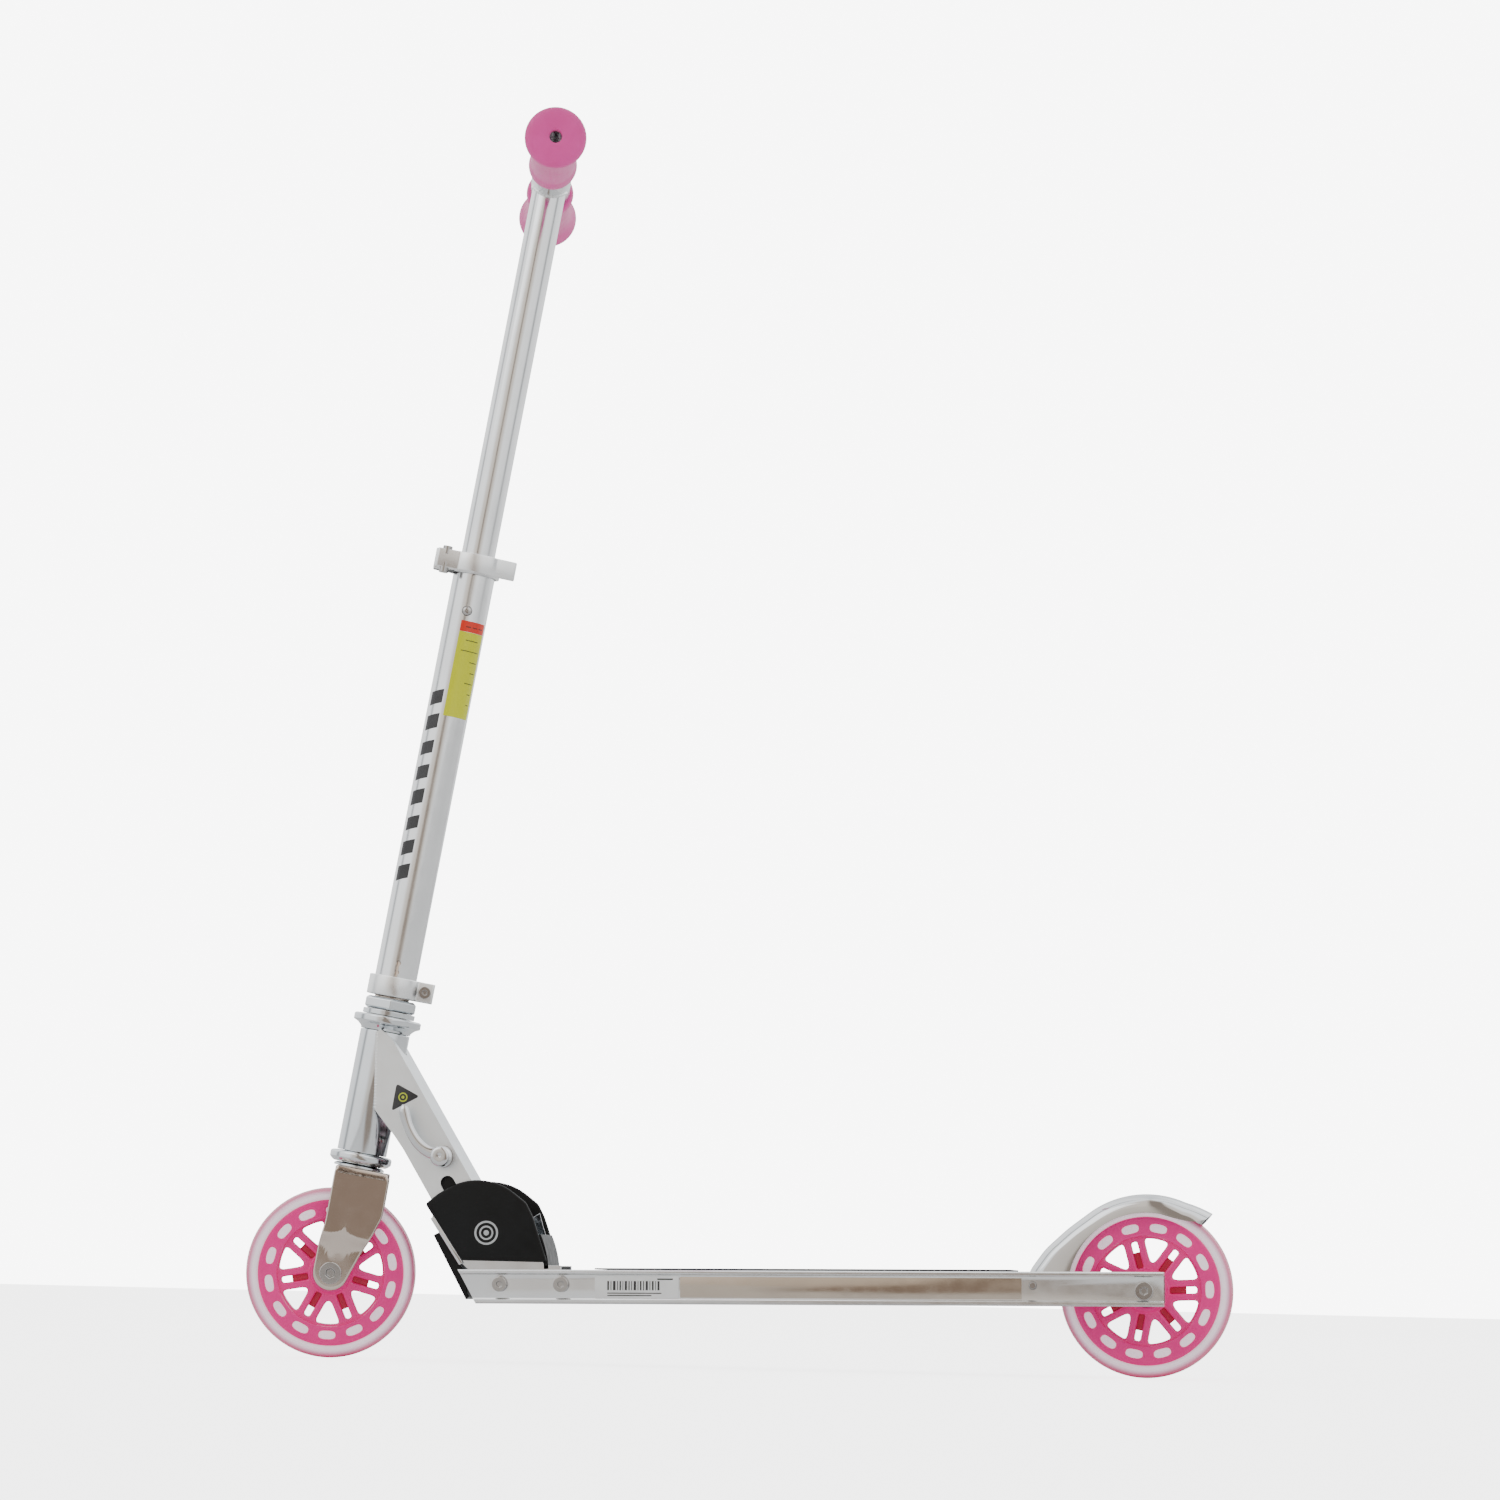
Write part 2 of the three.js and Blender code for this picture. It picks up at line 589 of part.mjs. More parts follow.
function neck() {
  const whole = plateY(neckOutline(), -NECK_HALF, NECK_HALF);
  const inside = NECK_HALF - NECK_WALL;
  const hollow = box(-60, NECK_REAR - NECK_WALL, -inside, inside, -30, 190);
  const headRoom = moved(rodZ(HEAD_RADIUS + GAP + 0.15, 0, 300), headGroup, neckGroup);
  const web = box(0, NECK_REAR + 1, -inside, inside, -30, 16);
  const slot = join(
    box(-5, 5, -NECK_HALF - 5, NECK_HALF + 5, LOCK_PIN_DISTANCE, SLOT_TOP),
    rodY(5, -NECK_HALF - 5, NECK_HALF + 5, 0, SLOT_TOP),
    rodY(5, -NECK_HALF - 5, NECK_HALF + 5, 0, LOCK_PIN_DISTANCE),
  );
  const pivot = rodY(5 + GAP, -NECK_HALF - 5, NECK_HALF + 5, 0, 0);
  const lever = rodY(3 + GAP, -NECK_HALF - 5, NECK_HALF + 5, LEVER_ACROSS, LEVER_UP);
  return cut(whole, hollow, headRoom, web, slot, pivot, lever);
}
piece("neck", neck(), ALUMINIUM, neckGroup);

function lockPin() {
  const half = BRACKET_OUT - 0.2;
  const ears = NECK_HALF - NECK_WALL - 2;
  const pin = rodY(LOCK_PIN_RADIUS, -half, half, 0, LOCK_PIN_DISTANCE);
  return join(pin, rodY(6.5, -ears, ears, 0, LOCK_PIN_DISTANCE, 12));
}
piece("lock_pin", lockPin(), STEEL, neckGroup);

function leverBolt() {
  const x = LEVER_ACROSS;
  const z = LEVER_UP;
  const shank = rodY(3, -NECK_HALF - 14, NECK_HALF + 1, x, z);
  const nut = rodY(6.5, NECK_HALF + GAP, NECK_HALF + 6, x, z, 6);
  return join(shank, nut);
}
piece("fold_lever_bolt", leverBolt(), STEEL, neckGroup);
const leverWasher = (index) => {
  const y1 = -NECK_HALF - GAP - index * 3.2;
  return ringY(8 - index * 0.6, 3 + GAP, y1 - 2.8, y1, LEVER_ACROSS, LEVER_UP, 20);
};
piece("fold_lever_washer", leverWasher(0), STEEL, neckGroup);
piece("fold_lever_spring", leverWasher(1), STEEL, neckGroup);

function foldLever() {
  // A round hub on the bolt and a curved arm up the side of the neck.
  const top = -NECK_HALF - 7;
  const hub = turnedY([[0, top - 9.5], [5.4, top - 9.5], [7.4, top - 7.5], [7.8, top], [0, top]], 16).translate(
    LEVER_ACROSS,
    0,
    LEVER_UP,
  );
  const curve = new THREE.QuadraticBezierCurve(
    new THREE.Vector2(LEVER_ACROSS - 2, LEVER_UP + 4),
    new THREE.Vector2(-5, 84),
    new THREE.Vector2(1.5, 111),
  );
  const points = curve.getPoints(8);
  const side = (offset) =>
    points.map((point, i) => {
      const tangent = curve.getTangent(i / 8);
      const width = offset * (1.35 - (0.45 * i) / 8);
      return [point.x - tangent.y * width, point.y + tangent.x * width];
    });
  const arm = plateY(outline([...side(3), ...side(-3).reverse()]), top - 8.5, top - 3);
  const bore = rodY(3 + GAP, top - 7.3, top + 1, LEVER_ACROSS, LEVER_UP);
  return cut(join(hub, arm), bore);
}
piece("fold_lever", foldLever(), CHROME, neckGroup);

// ---- the head tube and its cups, in the head group ----
piece(
  "head_tube",
  ringZ(HEAD_RADIUS, HEAD_RADIUS - 2.5, HEAD_LOW, HEAD_HIGH),
  ALUMINIUM,
  headGroup,
);
const CUP_BORE = 15.6;

function upperCup() {
  const low = HEAD_HIGH + GAP;
  return turned([
    [CUP_BORE, low],
    [HEAD_RADIUS, low],
    [HEAD_RADIUS + 3, low + 3.4],
    [24, low + 6],
    [24, low + 9.6],
    [22.8, low + 10.6],
    [CUP_BORE, low + 10.6],
  ]);
}

function lowerCup() {
  const high = HEAD_LOW - GAP;
  return turned([
    [CUP_BORE, high],
    [HEAD_RADIUS, high],
    [22, high - 1.2],
    [22, high - 5.2],
    [18.5, high - 8],
    [CUP_BORE, high - 8],
  ].reverse());
}
piece("upper_cup", upperCup(), CHROME, headGroup);
piece("lower_cup", lowerCup(), CHROME, headGroup);

// ---- the steering: fork, locknuts, stem, clamps and bars ----
const CROWN_LOW = WHEEL_RADIUS + 8.5;
const CROWN_HIGH = WHEEL_RADIUS + 14.6;
const FORK_INSIDE = 15.2;
const FORK_OUTSIDE = 18.2;

function forkOutline() {
  // One leg seen from the side: wide under the crown, waisted, round at the axle.
  const axle = -FORK_OFFSET;
  const drop = -AXLE_DROP;
  return outline([
    [-16.2, CROWN_LOW],
    [-15.8, 32],
    [-17.4, 22],
    [axle - 12.2, drop],
    ...arc(axle, drop, 12.2, 180, 345, 8).slice(1),
    [17.7, 27],
    [23.3, 43.5],
    [22.5, CROWN_LOW],
  ]);
}

function fork() {
  const hole = rodY(AXLE_RADIUS + GAP, -40, 40, -FORK_OFFSET, -AXLE_DROP);
  const leg = (y0, y1) => plateY(forkOutline(), y0, y1);
  const crown = box(-16, 22.5, -FORK_OUTSIDE, FORK_OUTSIDE, CROWN_LOW - 1, CROWN_HIGH);
  const steerer = rodZ(STEERER_RADIUS, CROWN_HIGH - 1, STEM_LOW + 28);
  return cut(join(leg(-FORK_OUTSIDE, -FORK_INSIDE), leg(FORK_INSIDE, FORK_OUTSIDE), crown, steerer), hole);
}
piece("fork", fork(), CHROME, steerGroup);
const RACE_BORE = STEERER_RADIUS + GAP;
piece(
  "crown_race",
  turned([
    [RACE_BORE, CROWN_HIGH + GAP],
    [18, CROWN_HIGH + GAP],
    [18, CROWN_HIGH + 1.8],
    [16, CROWN_HIGH + 2.8],
    [RACE_BORE, CROWN_HIGH + 2.8],
  ]),
  CHROME,
  steerGroup,
);
const headBearing = (low) => ringZ(CUP_BORE - GAP, RACE_BORE, low, low + 6, 24);
piece("lower_head_bearing", headBearing(HEAD_LOW - 7), STEEL, headGroup);
piece("upper_head_bearing", headBearing(HEAD_HIGH + 2), STEEL, headGroup);

const NUT_LOW = HEAD_HIGH + 11.4;
piece("adjusting_race", ringZ(18.6, RACE_BORE, NUT_LOW, NUT_LOW + 3.6), CHROME, steerGroup);
function locknut() {
  // A hexagon with its corners turned off, bored for the steerer.
  const low = NUT_LOW + 4;
  const high = low + 8.6;
  const hexagon = turned([[0, low], [18.8, low], [20.6, low + 1.2], [20.6, high - 1.6], [18.4, high], [0, high]], 6);
  return cut(hexagon, rodZ(RACE_BORE, low - 1, low + 10, 0, 0, 20));
}
piece("steerer_locknut", locknut(), CHROME, steerGroup);

const frontAxle = throughBolt(AXLE_RADIUS, FORK_OUTSIDE, 8, -FORK_OFFSET, -AXLE_DROP, 5);
piece("front_axle_bolt", frontAxle, STEEL, steerGroup);
const frontSpacer = (y0, y1) => ringY(6.5, AXLE_RADIUS + GAP, y0, y1, -FORK_OFFSET, -AXLE_DROP);
piece("front_spacer_near", frontSpacer(-FORK_INSIDE + GAP, -SPACER_IN), ALUMINIUM, steerGroup);
piece("front_spacer_far", frontSpacer(SPACER_IN, FORK_INSIDE - GAP), ALUMINIUM, steerGroup);
wheel("front", frontWheel);

const BUTTON_HEIGHT = 478.5;
const BUTTON_RADIUS = 3.4;
const STEM_BORE = STEM_RADIUS - STEM_WALL;

function stemTube() {
  // Slit at both ends on the near side so that the clamps can close it.
  const tube = ringZ(STEM_RADIUS, STEM_BORE, STEM_LOW, STEM_HIGH);
  const topSlit = box(-0.8, 0.8, -STEM_RADIUS - 1, -5, BUTTON_HEIGHT, STEM_HIGH + 1);
  const lowSlit = box(-0.8, 0.8, -STEM_RADIUS - 1, -5, STEM_LOW - 1, STEM_LOW + 24);
  const relief = join(
    rodY(1.9, -STEM_RADIUS - 1, -5, 0, STEM_LOW + 24, 10),
    rodY(1.7, -STEM_RADIUS - 1, -5, 0, STEM_LOW + 18, 10),
  );
  const button = rodY(BUTTON_RADIUS + GAP, -STEM_RADIUS - 1, -5, 0, BUTTON_HEIGHT);
  return cut(tube, topSlit, lowSlit, relief, button);
}
piece("stem_tube", stemTube(), ALUMINIUM, steerGroup);

// A split ring round the stem with two ears, the ears on +X or -X.
function splitClamp(low, high, outer, earReach, side, earOut, boltAt, boltRadius) {
  const inner = STEM_RADIUS + GAP;
  const ring = rodZ(outer, low, high);
  const x = [0, side * earReach].sort((a, b) => a - b);
  const ears = box(x[0], x[1], -earOut, earOut, low, high);
  const bore = rodZ(inner, low - 1, high + 1);
  const far = [side * 6, side * (earReach + 1)].sort((a, b) => a - b);
  const split = box(far[0], far[1], -1.4, 1.4, low - 1, high + 1);
  const hole = rodY(boltRadius + GAP, -40, 40, side * boltAt, (low + high) / 2);
  return cut(join(ring, ears), bore, split, hole);
}
const CLAMP_LOW = STEM_LOW;
const CLAMP_HIGH = CLAMP_LOW + 14;
const CLAMP_EAR = 8.6;
const CLAMP_RADIUS = STEM_RADIUS + 3.6;
const CLAMP_BOLT_AT = CLAMP_RADIUS + 3.6;
const lowerClamp = splitClamp(CLAMP_LOW, CLAMP_HIGH, CLAMP_RADIUS, CLAMP_RADIUS + 10, 1, CLAMP_EAR, CLAMP_BOLT_AT, 3);
const clampBolt = throughBolt(3, CLAMP_EAR, 4.4, CLAMP_BOLT_AT, (CLAMP_LOW + CLAMP_HIGH) / 2, 2.4);
piece("steerer_clamp", lowerClamp, ALUMINIUM, steerGroup);
piece("steerer_clamp_bolt", clampBolt, STEEL, steerGroup);

const COLLAR_LOW = STEM_HIGH - 14.6;
const COLLAR_HIGH = STEM_HIGH;
const COLLAR_MIDDLE = (COLLAR_LOW + COLLAR_HIGH) / 2;
const COLLAR_EAR = 8;
const COLLAR_RADIUS = STEM_RADIUS + 3;
const COLLAR_BOLT_AT = COLLAR_RADIUS + 4;
piece(
  "height_collar",
  splitClamp(COLLAR_LOW, COLLAR_HIGH, COLLAR_RADIUS, COLLAR_RADIUS + 12, -1, COLLAR_EAR, COLLAR_BOLT_AT, 2.6),
  ALUMINIUM,
  steerGroup,
);
const CAM_Y = -COLLAR_EAR - 7.4;
const CAM_PIN_RADIUS = 3.4;

function collarBolt() {
  const y1 = COLLAR_EAR;
  const shank = rodY(2.6, CAM_Y - CAM_PIN_RADIUS + 1, y1 + 1, -COLLAR_BOLT_AT, COLLAR_MIDDLE);
  const nut = rodY(5.2, y1 + GAP, y1 + 4.4, -COLLAR_BOLT_AT, COLLAR_MIDDLE);
  return join(shank, nut);
}
piece("collar_bolt", collarBolt(), STEEL, steerGroup);

function camPin() {
  const rod = rodZ(CAM_PIN_RADIUS, COLLAR_LOW - 3.2, COLLAR_HIGH + 1.6, -COLLAR_BOLT_AT, CAM_Y);
  return cut(rod, rodY(2.6 + GAP, CAM_Y - 9, 0, -COLLAR_BOLT_AT, COLLAR_MIDDLE));
}
piece("collar_cam_pin", camPin(), STEEL, steerGroup);

function collarLever() {
  // A cam head on the upright pin and a band that follows the collar round to the rear.
  const low = COLLAR_LOW + 0.4;
  const high = COLLAR_HIGH - 0.6;
  const x = -COLLAR_BOLT_AT;
  const inner = COLLAR_RADIUS + 0.9;
  const outer = COLLAR_RADIUS + 4.1;
  const from = 233;
  const to = 307;
  const band = plateZ(
    outline([
      ...arc(0, 0, outer, from, to, 8),
      [COLLAR_RADIUS + 3, -16.4],
      [COLLAR_RADIUS + 10.2, -13.2],
      [COLLAR_RADIUS + 10.8, -10.6],
      [COLLAR_RADIUS + 2.5, -12.6],
      ...arc(0, 0, inner, to + 4, from, 8),
    ]),
    low,
    high,
  );
  const head = plateZ(outline([...arc(x, CAM_Y, 6.8, 60, 270, 10), [6 - COLLAR_RADIUS, -21.6], [6.4 - COLLAR_RADIUS, 0.8 - COLLAR_RADIUS]]), low, high);
  const pin = rodZ(CAM_PIN_RADIUS + GAP, low - 1, high + 1, x, CAM_Y);
  const slot = box(x - 8, x + 9, CAM_Y - 9, 1, COLLAR_MIDDLE - 3.1, COLLAR_MIDDLE + 3.1);
  return cut(join(band, head), pin, slot);
}
piece("collar_lever", collarLever(), ALUMINIUM, steerGroup);

function stemLabel() {
  // A thin curved label on the near side of the stem.
  const inner = STEM_RADIUS + 0.15;
  const outer = inner + 0.35;
  const shape = outline([...arc(0, 0, outer, 259, 338, 8), ...arc(0, 0, inner, 338, 259, 8)]);
  return plateZ(shape, 402, 471.5);
}
piece("stem_label", stemLabel(), LABEL, steerGroup);

// ---- the telescopic bars ----
function innerTube() {
  // Its top is coped to the bar socket.
  const tube = ringZ(INNER_RADIUS, INNER_RADIUS - INNER_WALL, INNER_LOW, BAR_HEIGHT - BAR_SOCKET_RADIUS + 3);
  const hole = rodY(BUTTON_RADIUS + GAP, -INNER_RADIUS - 1, -4, 0, BUTTON_HEIGHT);
  const cope = rodY(BAR_SOCKET_RADIUS + GAP, -2 * INNER_RADIUS, 2 * INNER_RADIUS, 0, BAR_HEIGHT, 24);
  return cut(tube, hole, cope);
}
piece("inner_stem_tube", innerTube(), ALUMINIUM, steerGroup);

const SOCKET_BORE = HANDLE_RADIUS + GAP;
piece(
  "bar_socket",
  ringY(BAR_SOCKET_RADIUS, SOCKET_BORE, -BAR_SOCKET_HALF, BAR_SOCKET_HALF, 0, BAR_HEIGHT, 24),
  ALUMINIUM,
  steerGroup,
);

// The snap button stands in the stem tube's wall, over the hole in the inner tube.
piece(
  "height_button",
  rodY(BUTTON_RADIUS, -STEM_RADIUS - 1.6, -INNER_RADIUS - GAP, 0, BUTTON_HEIGHT, 12),
  CHROME,
  steerGroup,
);

function handleTube(side) {
  const ends = [side * HANDLE_INNER_END, side * (GRIP_END - 8)].sort((a, b) => a - b);
  return ringY(HANDLE_RADIUS, HANDLE_RADIUS - 1.6, ends[0], ends[1], 0, BAR_HEIGHT, 24);
}

function grip(side) {
  // A turned rubber grip: a collar by the stem, a waist, and a round flange at the end.
  const bore = HANDLE_RADIUS + GAP;
  const profile = [
    [bore, GRIP_START],
    [15.6, GRIP_START],
    [17.3, GRIP_START + 7],
    [16.8, GRIP_START + 15],
    [15.6, GRIP_START + 24],
    [15.6, GRIP_START + 84],
    [20.4, GRIP_START + 101],
    [GRIP_FLANGE_RADIUS, GRIP_START + 106],
    [GRIP_FLANGE_RADIUS - 0.6, GRIP_START + 110],
    [18.6, GRIP_END - 1.6],
    [10, GRIP_END],
    [4.3, GRIP_END],
    [4.3, GRIP_END - 7.5],
    [bore, GRIP_END - 7.5],
  ];
  const placed = side > 0 ? profile : profile.map(([r, y]) => [r, -y]).reverse();
  return turnedY(placed, 20).translate(0, 0, BAR_HEIGHT);
}

for (const [name, side] of [["near", -1], ["far", 1]]) {
  piece("handle_tube_" + name, handleTube(side), ALUMINIUM, steerGroup);
  piece("grip_" + name, grip(side), RUBBER_PINK, steerGroup);
}
piece(
  "handle_cord",
  rodY(2, -HANDLE_INNER_END - 26, HANDLE_INNER_END + 26, 0, BAR_HEIGHT, 8),
  ELASTIC,
  steerGroup,
);

export default scooter;
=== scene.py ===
"""A child's folding kick scooter: the looks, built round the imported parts.

Sizes are in millimetres in the frame of the sub-assembly they belong to, and Placement.put turns
them into metres in the scene. X runs to the rear wheel, Y across and Z up.
"""

import logging
import math
from dataclasses import dataclass, field
from enum import Enum

import bmesh
import bpy
import numpy as np
from mathutils import Matrix, Vector


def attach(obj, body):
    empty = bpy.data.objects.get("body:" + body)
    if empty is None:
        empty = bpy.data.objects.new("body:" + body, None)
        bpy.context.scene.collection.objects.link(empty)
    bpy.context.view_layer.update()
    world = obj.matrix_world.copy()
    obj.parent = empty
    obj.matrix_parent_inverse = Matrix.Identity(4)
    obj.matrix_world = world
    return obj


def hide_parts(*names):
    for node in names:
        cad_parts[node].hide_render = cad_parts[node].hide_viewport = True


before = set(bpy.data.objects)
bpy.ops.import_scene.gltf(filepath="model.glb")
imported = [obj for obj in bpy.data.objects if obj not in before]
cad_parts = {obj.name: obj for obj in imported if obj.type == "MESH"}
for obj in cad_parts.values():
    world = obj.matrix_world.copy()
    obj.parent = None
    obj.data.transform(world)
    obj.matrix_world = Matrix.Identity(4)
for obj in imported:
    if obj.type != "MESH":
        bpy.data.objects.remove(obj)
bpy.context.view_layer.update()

LOG = logging.getLogger("scooter")
MM = 0.001
SHARP_ANGLE = math.radians(32)
Socket = bpy.types.NodeSocket
Points = np.ndarray


# ---- frames ----
@dataclass(frozen=True)
class Placement:
    """A local frame: its origin in millimetres and its three axes in the scene."""

    origin: tuple[float, float, float]
    axes: tuple[tuple[float, float, float], ...] = ((1, 0, 0), (0, 1, 0), (0, 0, 1))

    def put(self, local: Points) -> Points:
        """Local millimetres to scene metres: the origin plus each coordinate along its axis."""
        return (np.asarray(self.origin) + np.asarray(local, float) @ np.asarray(self.axes)) * MM

    def at(self, x: float, y: float, z: float) -> "Placement":
        """The same axes about another local point."""
        origin = np.asarray(self.origin) + np.asarray((x, y, z), float) @ np.asarray(self.axes)
        return Placement(tuple(float(v) for v in origin), self.axes)

    def spun(self, degrees: float) -> "Placement":
        """The same frame turned about its own Y axis, X towards -Z."""
        c, s = math.cos(math.radians(degrees)), math.sin(math.radians(degrees))
        turn = np.array([[c, 0, -s], [0, 1, 0], [s, 0, c]])
        axes = turn @ np.asarray(self.axes)
        return Placement(self.origin, tuple(tuple(float(v) for v in row) for row in axes))


def leaning(origin: tuple[float, float, float], degrees: float) -> Placement:
    """A frame turned about Y so that its Z axis leans towards +X by the angle.

    Args:
        origin: The frame's origin in millimetres.
        degrees: The lean, positive towards the rear wheel.

    Returns:
        The frame.
    """
    return Placement(origin).spun(degrees)


WHEELBASE = 576.8
WHEEL_RADIUS = 60.0
DECK_SLOPE = 1.07
STEER_TILT = 9.44
STEER_TURN = 10.29
FORK_OFFSET = 5.2
NECK_LEAN = 31.3
PIVOT = (-177.0, 0.0, 82.0)


def steering_frame() -> Placement:
    """The frame of the steering: its Z axis is the steering axis, and the bars lie along its Y axis.

    Returns:
        The frame, turned about the steering axis by the rest angle.
    """
    tilt, turn = math.radians(STEER_TILT), math.radians(STEER_TURN)
    drop = FORK_OFFSET * math.tan(tilt) * math.cos(turn)
    x = FORK_OFFSET * math.cos(tilt) * math.cos(turn) + drop * math.sin(tilt) - WHEELBASE / 2
    up = np.array([math.sin(tilt), 0, math.cos(tilt)])
    back = np.array([math.cos(tilt), 0, -math.sin(tilt)])
    side = np.array([0.0, 1.0, 0.0])
    rearward = back * math.cos(turn) + side * math.sin(turn)
    across = side * math.cos(turn) - back * math.sin(turn)
    axes = tuple(tuple(float(v) for v in axis) for axis in (rearward, across, up))
    return Placement((x, 0.0, WHEEL_RADIUS), axes)


STEERING = steering_frame()
HEAD = leaning((STEERING.origin[0], 0.0, WHEEL_RADIUS), STEER_TILT)
DECK = leaning((WHEELBASE / 2, 0.0, WHEEL_RADIUS), -DECK_SLOPE)
NECK = leaning(PIVOT, -NECK_LEAN)
BRACKET = Placement(PIVOT)
AXLE_DROP = FORK_OFFSET * math.tan(math.radians(STEER_TILT)) * math.cos(math.radians(STEER_TURN))


# ---- numpy surfaces ----
def bow(centre: tuple[float, float], radius: float, start: float, end: float, steps: int = 24) -> Points:
    """Points of an arc in a plane: the centre plus the radius at evenly spaced angles.

    Args:
        centre: The arc's centre.
        radius: Its radius.
        start: The first angle in degrees.
        end: The last angle in degrees.
        steps: How many steps lie between them.

    Returns:
        An array of steps + 1 rows of two coordinates.
    """
    angle = np.radians(np.linspace(start, end, steps + 1))
    return np.stack([centre[0] + radius * np.cos(angle), centre[1] + radius * np.sin(angle)], 1)


def softened(outline: Points, radius: float, steps: int = 4, closed: bool = True) -> Points:
    """An outline with each corner replaced by a parabola between points on its two sides.

    A corner P with neighbours A and B becomes (1-t)^2 A' + 2t(1-t) P + t^2 B', where A' and B' lie
    on its sides at the radius from P, or at 0.45 of the side if that is shorter.

    Args:
        outline: The corners, one row of two or three coordinates each.
        radius: How far from the corner the rounding starts.
        steps: How many steps each corner gets.
        closed: Whether the last corner joins the first.

    Returns:
        The rounded outline.
    """
    p = np.asarray(outline, float)
    before, after = np.roll(p, 1, 0) - p, np.roll(p, -1, 0) - p
    reach = lambda side: np.minimum(radius / np.maximum(np.linalg.norm(side, axis=1), 1e-9), 0.45)[:, None]
    a, b = p + before * reach(before), p + after * reach(after)
    t = np.linspace(0, 1, steps + 1)[None, :, None]
    curve = (1 - t) ** 2 * a[:, None] + 2 * t * (1 - t) * p[:, None] + t**2 * b[:, None]
    if not closed:
        curve[0], curve[-1] = p[0], p[-1]
    return curve.reshape(-1, p.shape[1])


def resampled(outline: Points, count: int, closed: bool = True) -> Points:
    """An outline's points spaced evenly along its length, by straight interpolation.

    Args:
        outline: The outline's points.
        count: How many points to return.
        closed: Whether the last point joins the first.

    Returns:
        The evenly spaced points.
    """
    p = np.asarray(outline, float)
    p = np.vstack([p, p[:1]]) if closed else p
    length = np.concatenate([[0], np.cumsum(np.linalg.norm(np.diff(p, axis=0), axis=1))])
    at = np.linspace(0, length[-1], count, endpoint=not closed)
    return np.stack([np.interp(at, length, p[:, k]) for k in range(p.shape[1])], 1)


def outward(outline: Points) -> Points:
    """Unit normals of a closed plane outline, pointing out of it.

    Each is the mean direction of its two neighbours turned by a quarter, with its sign from the
    outline's signed area.
    """
    along = np.roll(outline, -1, 0) - np.roll(outline, 1, 0)
    normal = np.stack([along[:, 1], -along[:, 0]], 1)
    normal /= np.maximum(np.linalg.norm(normal, axis=1, keepdims=True), 1e-9)
    x, y = outline.T
    area = np.sum(x * np.roll(y, -1) - np.roll(x, -1) * y)
    return normal * (1 if area > 0 else -1)


